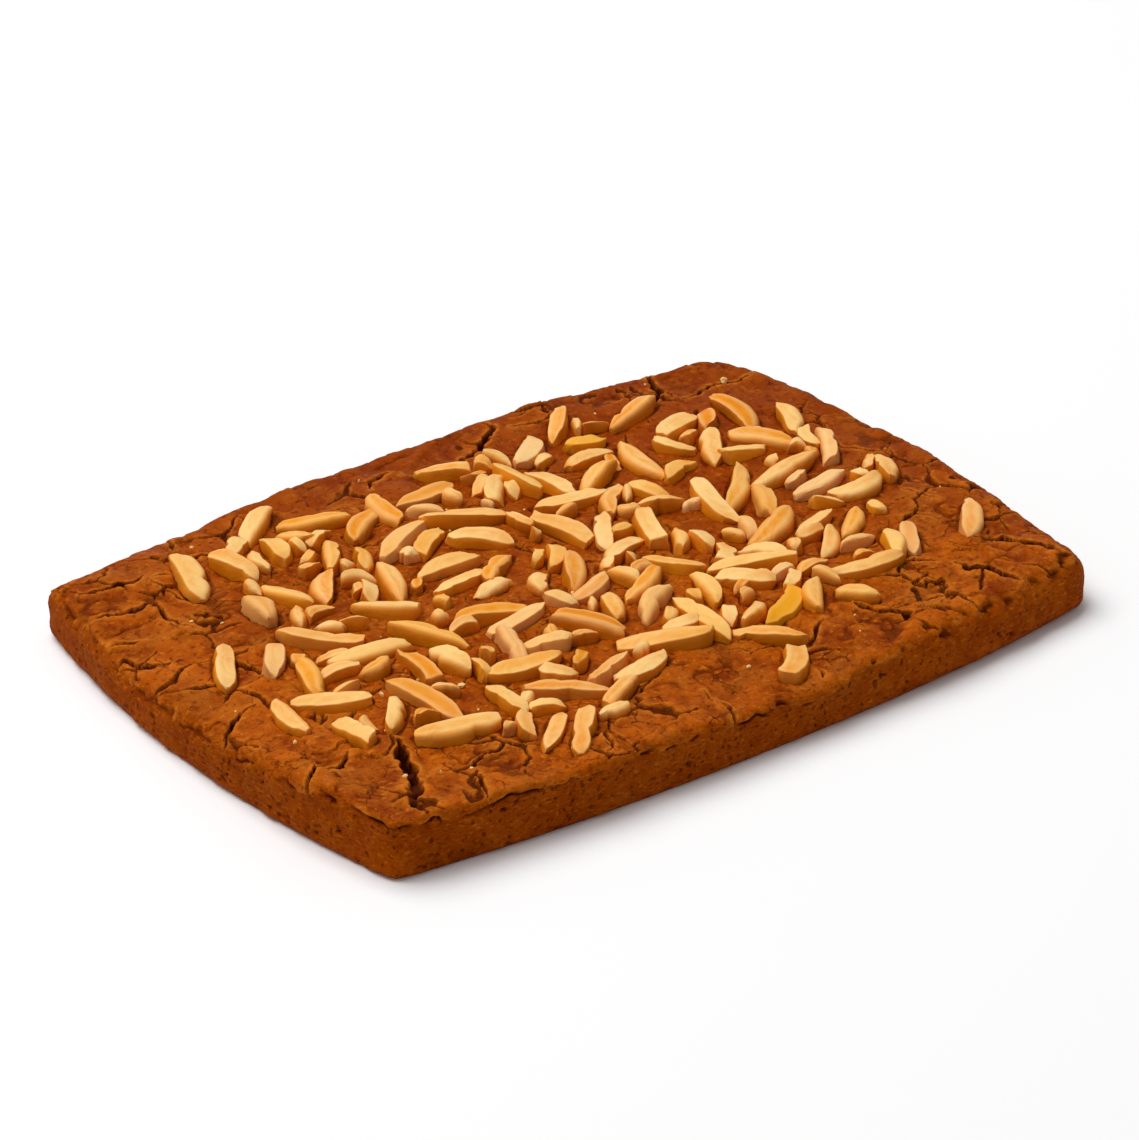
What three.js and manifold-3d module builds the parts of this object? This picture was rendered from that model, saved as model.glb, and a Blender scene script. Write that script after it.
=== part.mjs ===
// Speculaas: a thick rectangular spiced biscuit, baked as one slab, with a crackled crust that is
// strewn with slivered almonds. The almonds are baked into the crust, so all of it is one solid.
// Millimetres, +Z up. The origin is the middle of the flat underside, +X runs along the long sides,
// and the front long side faces -Y.

import * as THREE from 'three';
import { mergeVertices } from 'three/addons/utils/BufferGeometryUtils.js';
import Module from 'manifold-3d';

const wasm = await Module();
wasm.setup();

// Slab: its size from corner to corner, how far each side swells out past that straight line,
// and the radius that rounds off each corner in plan.
const LENGTH = 198.6;
const WIDTH = 136.8;
const THICKNESS = 13.1;
const SWELL = { front: 6.5, right: 6.4, back: 7.5, left: 8.0 };
const CORNERS = [
  { side: [-1, -1], round: 2.5 }, // near
  { side: [1, -1], round: 1.2 }, // right
  { side: [1, 1], round: 6.7 }, // far
  { side: [-1, 1], round: 1.4 }, // left
];
const CORNER_PULL = 0.5; // how far a corner's tip is drawn in, as a share of its radius

// Rim and foot: the rounding of the upper edge, the lift of the rim and the rounding of the lower edge,
// at eight places an eighth of a turn apart: near corner, front, right corner, right, far corner, back,
// left corner, left.
const RIM_ROUND = [1.8, 2.6, 5.6, 4.0, 4.0, 3.8, 5.6, 5.2];
const RIM_LIFT = [1.6, -0.8, 0.5, 0.3, 0, 0, -0.9, -1.2];
const RIM_LIFT_POWER = 4;
const FOOT_ROUND = [2.8, 2.6, 4.2, 3.2, 3.0, 3.0, 3.4, 2.8];
const FOOT_CUT = 0.4; // how much of the slab is cut away to give the flat underside

// Top: a low crown and long shallow waves, which the oven leaves.
const CROWN = 0.7;
const WAVES = [
  { length: 64, heading: 0.4, high: 0.35, start: 0.7 },
  { length: 47, heading: 2.0, high: 0.3, start: 2.1 },
  { length: 29, heading: 1.1, high: 0.25, start: 4.0 },
  { length: 21, heading: 2.7, high: 0.2, start: 5.2 },
];

// Cells of the slab's faces, an even number each way so that the widest places are met, and how
// strongly they are drawn together towards the corners.
const CELLS_LONG = 20;
const CELLS_WIDE = 14;
const BUNCH = 0.6;

// Cracks in the crust: width at the top, depth, and the places that each one runs through.
const CRACKS = [
  { wide: 3.4, deep: 6.0, path: [[-76, -40], [-79, -46], [-82, -53], [-85, -57], [-88, -62], [-90, -66]] },
  { wide: 1.5, deep: 2.4, path: [[-77, -55], [-72, -57], [-64, -56], [-58, -54], [-55, -59]] },
  { wide: 1.8, deep: 2.6, path: [[-87, -37], [-92, -42], [-98, -41], [-106, -47]] },
  { wide: 1.8, deep: 2.6, path: [[-91, -6], [-95, -7], [-100, -11], [-106, -16]] },
  { wide: 2.0, deep: 2.6, path: [[-105, 30], [-101, 30], [-100, 25], [-95, 21]] },
  { wide: 1.8, deep: 2.6, path: [[-104, 47], [-95, 48], [-92, 45], [-84, 44], [-86, 37], [-82, 28]] },
  { wide: 2.0, deep: 2.6, path: [[-95, 58], [-88, 58], [-82, 55], [-74, 53]] },
  { wide: 1.6, deep: 2.2, path: [[-67, 59], [-62, 57], [-58, 55]] },
  { wide: 1.6, deep: 2.2, path: [[-13, 60], [-10, 63], [-3, 64], [-1, 60]] },
  { wide: 2.2, deep: 3.0, path: [[12, 57], [15, 60], [20, 61], [25, 64], [29, 68], [28, 73]] },
  { wide: 2.6, deep: 3.8, path: [[70, 56], [74, 59], [76, 65], [78, 69]] },
  { wide: 1.8, deep: 2.6, path: [[75, 53], [86, 55], [91, 53], [98, 53]] },
  { wide: 1.6, deep: 2.2, path: [[92, 13], [90, 8], [93, 3], [98, 1]] },
  { wide: 2.8, deep: 4.4, path: [[85, -46], [89, -48], [93, -56], [95, -64]] },
  { wide: 2.4, deep: 3.6, path: [[74, -51], [74, -56], [78, -58], [80, -67]] },
  { wide: 1.8, deep: 2.6, path: [[60, -44], [66, -45], [70, -49]] },
  { wide: 2.6, deep: 4.0, path: [[42, -53], [45, -58], [49, -63], [46, -65]] },
  { wide: 1.5, deep: 2.2, path: [[53, -60], [58, -60], [62, -62], [64, -66], [62, -72]] },
  { wide: 1.6, deep: 2.2, path: [[-10, -62], [-9, -70], [-11, -76]] },
  { wide: 1.8, deep: 2.6, path: [[-69, -59], [-72, -63], [-76, -70]] },
];
const CRACK_END = 0.25; // share of the width and depth that is left at a crack's two ends
const CRACK_ABOVE = 1.5; // how far above the crust the cut for a crack begins

// Almonds round the edge of the strewn field, anticlockwise from the near corner, and the lone ones
// outside it: [x, y, turn in degrees, length, width].
const FIELD_EDGE = [
  [-64, -45, -12, 20, 7.0],
  [-47.5, -57.5, 39, 16, 4.4],
  [-42.5, -62, 45, 18, 5.0],
  [-32, -59, 3, 8, 4.6],
  [-15, -47, 8, 16, 5.8],
  [17, -53, -44, 17, 5.6],
  [45, -50, -48, 10, 5.4],
  [55, -42, -8, 19, 5.2],
  [72, -37, 57, 15, 4.8],
  [78, -12, 3, 15, 5.6],
  [90, -8, 58, 12, 5.6],
  [86, 9, 57, 15, 4.4],
  [89, 27, 65, 14, 5.6],
  [81, 37, 80, 19, 6.6],
  [60, 52, 18, 18, 6.2],
  [41, 57, 48, 16, 4.8],
  [28, 52, 38, 16, 6.4],
  [4, 54, -38, 13, 5.4],
  [-18, 48, 85, 15, 5.4],
  [-33, 54, -30, 18, 5.8],
  [-45, 61, 40, 16, 6.0],
  [-71, 48, 72, 18, 7.4],
  [-68, 25, 84, 14, 6.4],
  [-78, 5, 50, 13, 5.4],
  [-78, -17, -35, 18, 6.6],
  [-82, -31, 90, 14, 5.6],
];
const LONE_ALMONDS = [
  [-89, -17, 80, 17, 5.2],
  [-88, 10, 60, 18, 5.4],
  [89, -39, 47, 16, 6.0],
  [14, -65, 45, 12, 6.0],
];

// Almonds strewn inside the field, handful by handful, from the largest to the smallest: how many, and
// the smallest and largest sizes in the first handful and in the last.
const HANDFULS = 11;
const HANDFUL_COUNT = 10;
const FIRST_HANDFUL = { long: [18, 23], wide: [5.4, 7.2] };
const LAST_HANDFUL = { long: [7, 9.5], wide: [3.6, 4.8] };
const THROWN_OVER = [200, 134.5]; // length and width that the handfuls are thrown over
const THROWS = 4000; // throws for a handful at most
const STREW_SEED = 18358; // for the draws of all the almonds
const HEADING = 52; // degrees: the way most of the slivers point
const SPREAD = 125; // degrees: how far a sliver may be turned from that
const OVERLAP = 1.3; // how far two slivers may press into each other
const HIGH = [3.0, 4.3]; // height of a sliver, with what is baked into the crust
const SUNK = 1.0; // how deep a sliver is baked into the crust
const BLUNT = [0.3, 0.8]; // width left at the ends: pointed boats to blunt sticks
const SLANT = [-0.14, 0.14]; // how far the top's two sides stand off its height, as a share of it
const ALMOND_TOP = 0.82; // width of a sliver's flat top, as a share of its base
const ALMOND_END = 0.6; // how much less a blunt sliver's ends drop than its sides narrow
const ALMOND_TAPER = 0.55; // where a long sliver starts to narrow, as a share of its half length
const ALMOND_LONG = 12.5; // slivers under this length are widest in the middle only

const FULL_TURN = 2 * Math.PI;
const HALF_LENGTH = LENGTH / 2;
const HALF_WIDTH = WIDTH / 2;
// The sides swell unequally, so the middle of the whole lies beside the middle of the corners.
const MIDDLE_X = (SWELL.right - SWELL.left) / 2;
const MIDDLE_Y = (SWELL.back - SWELL.front) / 2;

/** The same numbers from 0 to 1 in every run. */
function randomStream(seed) {
  let state = seed;
  return () => {
    state = (Math.imul(state, 1664525) + 1013904223) >>> 0;
    return state / 2 ** 32;
  };
}

function mix(low, high, share) {
  return low + (high - low) * share;
}

/** A place in the slab's plan, from shares of the half length and half width, -1 to 1. */
function planPoint(u, v) {
  const swellX = mix(-SWELL.left, SWELL.right, (1 + u) / 2) * (1 - v * v);
  const swellY = mix(-SWELL.front, SWELL.back, (1 + v) / 2) * (1 - u * u);
  const point = new THREE.Vector2(HALF_LENGTH * u + swellX, HALF_WIDTH * v + swellY);
  for (const { side, round } of CORNERS) {
    const corner = new THREE.Vector2(HALF_LENGTH * side[0], HALF_WIDTH * side[1]);
    const near = Math.max(0, 1 - point.distanceTo(corner) / (2 * round));
    point.addScaledVector(corner.normalize(), -CORNER_PULL * round * near * near);
  }
  return point.sub(new THREE.Vector2(MIDDLE_X, MIDDLE_Y));
}

/** One of the rim's eight-place lists, read smoothly in the direction of a place. */
function alongRim(list, x, y) {
  const eighths = Math.atan2(y / HALF_WIDTH, x / HALF_LENGTH) / (FULL_TURN / 8);
  const place = (eighths + 3 + list.length) % list.length;
  const before = Math.floor(place) % list.length;
  const share = (1 - Math.cos((place - Math.floor(place)) * Math.PI)) / 2;
  return mix(list[before], list[(before + 1) % list.length], share);
}

/** Height of the crust over the underside. */
function topHeight(x, y) {
  const u = Math.min(Math.abs(x) / HALF_LENGTH, 1);
  const v = Math.min(Math.abs(y) / HALF_WIDTH, 1);
  let height = THICKNESS + CROWN * (1 - u * u) * (1 - v * v);
  height += alongRim(RIM_LIFT, x, y) * Math.max(u, v) ** RIM_LIFT_POWER;
  for (const { length, heading, high, start } of WAVES) {
    const along = x * Math.cos(heading) + y * Math.sin(heading);
    height += high * Math.sin((FULL_TURN * along) / length + start);
  }
  return height;
}

/** A geometry with only its positions, and with the points that faces share merged. */
function bare(geometry) {
  geometry.deleteAttribute('normal');
  geometry.deleteAttribute('uv');
  return mergeVertices(geometry);
}

function toSolid(geometry) {
  const vertProperties = new Float32Array(geometry.getAttribute('position').array);
  const triVerts = new Uint32Array(geometry.getIndex().array);
  return new wasm.Manifold(new wasm.Mesh({ numProp: 3, vertProperties, triVerts }));
}

function toGeometry(solid) {
  const { vertProperties, triVerts } = solid.getMesh();
  const geometry = new THREE.BufferGeometry();
  geometry.setAttribute('position', new THREE.BufferAttribute(vertProperties, 3));
  geometry.setIndex(new THREE.BufferAttribute(triVerts, 1));
  geometry.computeVertexNormals();
  return geometry;
}

/** The slab: a box whose faces are drawn out to the swollen plan, with a rounded rim and foot. */
function makeSlab() {
  const arc = [Math.PI / 2, Math.PI / 4, 0];
  const rows = 2 * arc.length - 1;
  const box = bare(new THREE.BoxGeometry(2, 2, rows, CELLS_LONG, CELLS_WIDE, rows));
  const points = box.getAttribute('position');
  const bunched = (share) => mix(share, Math.sin((share * Math.PI) / 2), BUNCH);
  for (let i = 0; i < points.count; i += 1) {
    const u = bunched(points.getX(i));
    const v = bunched(points.getY(i));
    const row = Math.round(points.getZ(i) + rows / 2);
    const isFoot = row < arc.length;
    const angle = isFoot ? arc[row] : arc[rows - row];
    const outer = planPoint(u, v);
    const round = alongRim(isFoot ? FOOT_ROUND : RIM_ROUND, outer.x, outer.y);
    const inset = round * (1 - Math.cos(angle));
    const place = planPoint(u * (1 - inset / HALF_LENGTH), v * (1 - inset / HALF_WIDTH));
    const drop = round * (1 - Math.sin(angle));
    const height = isFoot ? drop - FOOT_CUT : topHeight(place.x, place.y) - drop;
    points.setXYZ(i, place.x, place.y, height);
  }
  const below = bare(new THREE.BoxGeometry(2 * LENGTH, 2 * WIDTH, THICKNESS));
  below.translate(0, 0, -THICKNESS / 2);
  return toSolid(box).subtract(toSolid(below));
}

/** A closed bar of flat sides. place(corner, step) gives the points of its rings, and of the
 * middles of its two ends, where corner is null. */
function makeBar(sides, steps, place) {
  const bar = bare(new THREE.CylinderGeometry(1, 1, steps, sides, steps));
  const points = bar.getAttribute('position');
  for (let i = 0; i < points.count; i += 1) {
    const x = points.getX(i);
    const z = points.getZ(i);
    const around = (Math.atan2(x, z) / FULL_TURN) * sides;
    const corner = Math.hypot(x, z) < 0.5 ? null : Math.round(around + sides) % sides;
    const spot = place(corner, Math.round(steps / 2 - points.getY(i)));
    points.setXYZ(i, spot.x, spot.y, spot.z);
  }
  return toSolid(bar);
}

/** The cut for one crack: a wedge that runs along its path and tapers towards both ends. */
function makeCrackCut({ wide, deep, path }) {
  const last = path.length - 1;
  const at = (step) => new THREE.Vector2(...path[THREE.MathUtils.clamp(step, 0, last)]);
  return makeBar(3, last, (corner, step) => {
    const share = mix(CRACK_END, 1, Math.sin((Math.PI * step) / last));
    const section = [
      [-wide / 2, CRACK_ABOVE],
      [wide / 2, CRACK_ABOVE],
      [0, -deep * share],
    ];
    const [side, lift] = corner === null ? [0, 0] : section[corner];
    const here = at(step);
    const along = at(step + 1).sub(at(step - 1)).normalize();
    const x = here.x - along.y * side * share;
    const y = here.y + along.x * side * share;
    return new THREE.Vector3(x, y, topHeight(here.x, here.y) + lift);
  });
}

/** One almond sliver, a stick with four cut faces that narrows to its ends. */
function makeAlmond({ x, y, turn, long, wide, high, blunt, slant }) {
  const along = new THREE.Vector2(Math.cos(turn), Math.sin(turn));
  const section = [
    [-0.5, 0],
    [-ALMOND_TOP / 2, 1 - slant],
    [ALMOND_TOP / 2, 1 + slant],
    [0.5, 0],
  ];
  const stations = long < ALMOND_LONG ? [-1, 0, 1] : [-1, -ALMOND_TAPER, ALMOND_TAPER, 1];
  const last = stations.length - 1;
  return makeBar(section.length, last, (corner, step) => {
    const isEnd = step === 0 || step === last;
    const width = wide * (isEnd ? blunt : 1);
    const height = high * (isEnd ? mix(blunt, 1, ALMOND_END) : 1);
    const [side, up] = corner === null ? [0, 0.5] : section[corner];
    const reach = (stations[step] * long) / 2;
    const middleX = x + along.x * reach;
    const middleY = y + along.y * reach;
    const px = middleX - along.y * side * width;
    const py = middleY + along.x * side * width;
    return new THREE.Vector3(px, py, topHeight(middleX, middleY) - SUNK + up * height);
  });
}

/** Whether a place lies inside the ring of almonds round the strewn field. */
function isInField(x, y) {
  let inside = false;
  FIELD_EDGE.forEach(([ax, ay], i) => {
    const [bx, by] = FIELD_EDGE[(i + 1) % FIELD_EDGE.length];
    const spans = (ay > y) !== (by > y);
    if (spans && x < ax + ((bx - ax) * (y - ay)) / (by - ay)) {
      inside = !inside;
    }
  });
  return inside;
}

/** The middles of a row of discs, as wide as the sliver, that cover it from end to end. */
function coverDiscs({ x, y, turn, long, wide }) {
  const count = Math.ceil(long / wide) + 1;
  const reach = (long - wide) / 2;
  return Array.from({ length: count }, (_, i) => {
    const along = mix(-reach, reach, i / (count - 1));
    return [x + along * Math.cos(turn), y + along * Math.sin(turn)];
  });
}

/** Whether a sliver presses into none of the others by more than the overlap. */
function isClear(sliver, others) {
  const discs = coverDiscs(sliver);
  return others.every((other) => {
    const gap = (sliver.wide + other.wide) / 2 - OVERLAP;
    const apart = Math.hypot(sliver.x - other.x, sliver.y - other.y);
    if (apart > (sliver.long + other.long) / 2) {
      return true;
    }
    const isFar = ([x, y]) => discs.every(([dx, dy]) => Math.hypot(x - dx, y - dy) > gap);
    return coverDiscs(other).every(isFar);
  });
}

/** Height, ends and top of one sliver. */
function character(draw) {
  return {
    high: mix(...HIGH, draw()),
    blunt: mix(...BLUNT, draw()),
    slant: mix(...SLANT, draw()),
  };
}

/** The smallest and largest of a size in one of the handfuls. */
function sizeRange(size, handful) {
  const share = handful / (HANDFULS - 1);
  return [0, 1].map((end) => mix(FIRST_HANDFUL[size][end], LAST_HANDFUL[size][end], share));
}

/** The slivers of one handful, which keep clear of the ones that lie there already. */
function strewHandful(long, wide, lying, draw) {
  const [overX, overY] = THROWN_OVER;
  const handful = [];
  for (let i = 0; i < THROWS && handful.length < HANDFUL_COUNT; i += 1) {
    const sliver = {
      x: overX * (draw() - 0.5),
      y: overY * (draw() - 0.5),
      turn: THREE.MathUtils.degToRad(HEADING + SPREAD * (draw() + draw() - 1)),
      long: mix(...long, draw()),
      wide: mix(...wide, draw()),
    };
    if (isInField(sliver.x, sliver.y) && isClear(sliver, [...lying, ...handful])) {
      handful.push({ ...sliver, ...character(draw) });
    }
  }
  return handful;
}

/** Every almond sliver: the ones with a place of their own, then the strewn ones. */
function strewAlmonds() {
  const draw = randomStream(STREW_SEED);
  const slivers = [...FIELD_EDGE, ...LONE_ALMONDS].map(([x, y, degrees, long, wide]) => {
    return { x, y, turn: THREE.MathUtils.degToRad(degrees), long, wide, ...character(draw) };
  });
  for (let i = 0; i < HANDFULS; i += 1) {
    slivers.push(...strewHandful(sizeRange('long', i), sizeRange('wide', i), slivers, draw));
  }
  return slivers;
}

/** The whole biscuit as one body: hollows that the almonds close over are filled. */
function makeBiscuit() {
  let body = makeSlab();
  for (const crack of CRACKS) {
    body = body.subtract(makeCrackCut(crack));
  }
  for (const sliver of strewAlmonds()) {
    body = body.add(makeAlmond(sliver));
  }
  const bodies = body.decompose().sort((a, b) => b.volume() - a.volume());
  return toGeometry(bodies[0]);
}

const biscuitMaterial = new THREE.MeshStandardMaterial({ color: 0x9c5221, roughness: 0.8, metalness: 0 });
const speculaas = new THREE.Mesh(makeBiscuit(), biscuitMaterial);
speculaas.name = 'speculaas';

const part = new THREE.Group();
part.add(speculaas);

export default part;
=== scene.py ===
"""Speculaas: a thick slab of spiced biscuit with slivered almonds baked into its cracked crust.

The slab, the almonds and the crumbs are worked out in millimetres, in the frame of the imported
model, whose origin is the middle of the flat underside. Their meshes are made in metres.
"""

import functools
import itertools
import logging
import math
from dataclasses import dataclass
from enum import Enum
from typing import Any, Sequence

import bpy
import numpy as np
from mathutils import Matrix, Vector
from numpy.typing import NDArray


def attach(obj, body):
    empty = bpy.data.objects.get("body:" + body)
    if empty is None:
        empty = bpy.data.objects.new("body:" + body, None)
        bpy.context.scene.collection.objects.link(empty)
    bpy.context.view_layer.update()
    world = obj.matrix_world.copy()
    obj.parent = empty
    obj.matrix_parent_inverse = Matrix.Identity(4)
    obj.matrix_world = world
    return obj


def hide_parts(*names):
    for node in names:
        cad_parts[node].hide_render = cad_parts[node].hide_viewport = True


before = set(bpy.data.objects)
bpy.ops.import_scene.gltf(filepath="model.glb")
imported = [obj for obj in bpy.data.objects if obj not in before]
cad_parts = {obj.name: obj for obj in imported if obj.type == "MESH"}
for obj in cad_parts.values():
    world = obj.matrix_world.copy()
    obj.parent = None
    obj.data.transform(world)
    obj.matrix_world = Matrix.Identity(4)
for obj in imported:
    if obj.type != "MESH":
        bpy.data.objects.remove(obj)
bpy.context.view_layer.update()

Floats = NDArray[np.float64]
Ints = NDArray[np.int64]
Span = tuple[float, float]

MM = 0.001
FULL_TURN = 2 * math.pi
NODE = "speculaas"
BODY = "root"

log = logging.getLogger("speculaas")


class Slot(Enum):
    """The record's material slots."""

    CRUST = "crust"
    ALMOND = "almond"


def linear(hex_colour: str) -> tuple[float, float, float, float]:
    """Turns an sRGB colour to linear light.

    Args:
        hex_colour: The colour as #RRGGBB.

    Returns:
        Linear red, green and blue, and an alpha of 1.
    """
    shares = [int(hex_colour[start:start + 2], 16) / 255 for start in (1, 3, 5)]
    red, green, blue = [s / 12.92 if s <= 0.04045 else ((s + 0.055) / 1.055) ** 2.4 for s in shares]
    return red, green, blue, 1.0


def mix(low: Any, high: Any, share: Any) -> Any:
    """The value that lies a share of the way from low to high."""
    return low + (high - low) * share


def ease(low: Any, high: Any, value: Any) -> Any:
    """A smooth step from 0 at low to 1 at high."""
    share = np.clip((value - low) / (high - low), 0.0, 1.0)
    return share * share * (3 - 2 * share)


def plug(node: bpy.types.Node, inputs: dict[Any, Any]) -> None:
    """Sets a node's sockets, by name or place, each to a value or to the output that is linked to it."""
    for socket, value in inputs.items():
        if isinstance(value, bpy.types.NodeSocket):
            node.id_data.links.new(value, node.inputs[socket])
        else:
            node.inputs[socket].default_value = value


def add_node(
    tree: bpy.types.NodeTree, kind: str, inputs: dict[Any, Any], out: Any = 0, **settings: Any
) -> bpy.types.NodeSocket:
    """Adds one node to a material.

    Args:
        tree: The material's node tree.
        kind: Blender's name for the node.
        inputs: For each socket, by name or place, a value or the output that is linked to it.
        out: The output that is wanted, by name or place.
        **settings: The node's own settings.

    Returns:
        That output of the new node.
    """
    node = tree.nodes.new(kind)
    for name, value in settings.items():
        setattr(node, name, value)
    plug(node, inputs)
    return node.outputs[out]


def per_metre(millimetres: float) -> float:
    """The texture scale whose pattern repeats over a length in millimetres."""
    return 1 / (millimetres * MM)


class Stream:
    """Seeded random numbers from 0 to 1, the same as in the part's source."""

    def __init__(self, seed: int) -> None:
        """Starts the stream at its seed."""
        self.state = seed

    def draw(self) -> float:
        """The next number."""
        self.state = (self.state * 1664525 + 1013904223) % 2**32
        return self.state / 2**32

    def between(self, span: Span) -> float:
        """The next number, spread over a span."""
        return mix(span[0], span[1], self.draw())


def hashed(cells: Ints, seed: int) -> Floats:
    """A fixed random number for each cell of a lattice.

    Args:
        cells: Whole-number places, with x, y and z in the last axis.
        seed: Picks one of many such fields of numbers.

    Returns:
        Numbers from 0 to 1.
    """
    key = cells[..., 0] * 73856093 ^ cells[..., 1] * 19349663 ^ cells[..., 2] * 83492791 ^ seed * 40503
    for _ in range(2):
        key = key & 0xFFFFFFFF
        key = (key ^ key >> 16) * 0x45D9F3B
    return ((key ^ key >> 16) & 0xFFFFFF) / 0xFFFFFF


def lumps(points: Floats, size: float, seed: int) -> Floats:
    """Smooth noise in space.

    Args:
        points: Places in millimetres.
        size: Width of a lump in millimetres.
        seed: Picks one of many such fields.

    Returns:
        Heights from -1 to 1.
    """
    scaled = points / size
    cell = np.floor(scaled).astype(np.int64)
    part = scaled - cell
    part = part * part * part * (part * (part * 6 - 15) + 10)
    total = np.zeros(len(points))
    for corner in itertools.product((0, 1), repeat=3):
        weight = np.ones(len(points))
        for axis, side in enumerate(corner):
            weight *= part[:, axis] if side else 1 - part[:, axis]
        total += weight * hashed(cell + np.array(corner), seed)
    return 2 * total - 1


@dataclass
class Plates:
    """What each point knows of the plate that it lies on.

    Attributes:
        border: Distance to the plate's border in millimetres.
        offset: Place relative to the plate's middle in millimetres.
        cell: The plate's cell in the lattice, from which its own numbers are drawn.
    """

    border: Floats
    offset: Floats
    cell: Ints


def find_plates(points: Floats, size: float, seed: int) -> Plates:
    """Breaks space into irregular plates, each round a middle of its own.

    Args:
        points: Places in millimetres.
        size: Usual width of a plate in millimetres.
        seed: Picks one of many such breaks.

    Returns:
        The plate that each point lies on.
    """
    scaled = points / size
    home = np.floor(scaled).astype(np.int64)
    first = np.full(len(points), np.inf)
    second = np.full(len(points), np.inf)
    middle = np.zeros_like(points)
    rival = np.zeros_like(points)
    cell = np.zeros_like(home)
    for step in itertools.product((-1, 0, 1), repeat=3):
        other = home + np.array(step)
        spot = other + np.stack([hashed(other, seed + axis) for axis in range(3)], axis=-1)
        gap = ((spot - scaled) ** 2).sum(axis=1)
        is_first = gap < first
        is_second = ~is_first & (gap < second)
        second = np.where(is_first, first, np.where(is_second, gap, second))
        rival[is_first] = middle[is_first]
        rival[is_second] = spot[is_second]
        first[is_first] = gap[is_first]
        middle[is_first] = spot[is_first]
        cell[is_first] = other[is_first]
    apart = np.linalg.norm(rival - middle, axis=1)
    border = (second - first) / (2 * np.maximum(apart, 0.05)) * size
    return Plates(border, (scaled - middle) * size, cell)


@dataclass(frozen=True)
class Corner:
    """A corner of the slab: the sides it joins and the radius that rounds it off in plan."""

    side_x: int
    side_y: int
    round: float


@dataclass(frozen=True)
class Wave:
    """A long shallow wave that the oven leaves in the top."""

    length: float
    heading: float
    high: float
    start: float


@dataclass
class Shell:
    """The slab's smooth skin, point by point.

    Attributes:
        points: Places in millimetres.
        wall: 0 on the top and underside, 1 on the upright sides.
        down: Depth under the top's own height in millimetres.
    """

    points: Floats
    wall: Floats
    down: Floats


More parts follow.
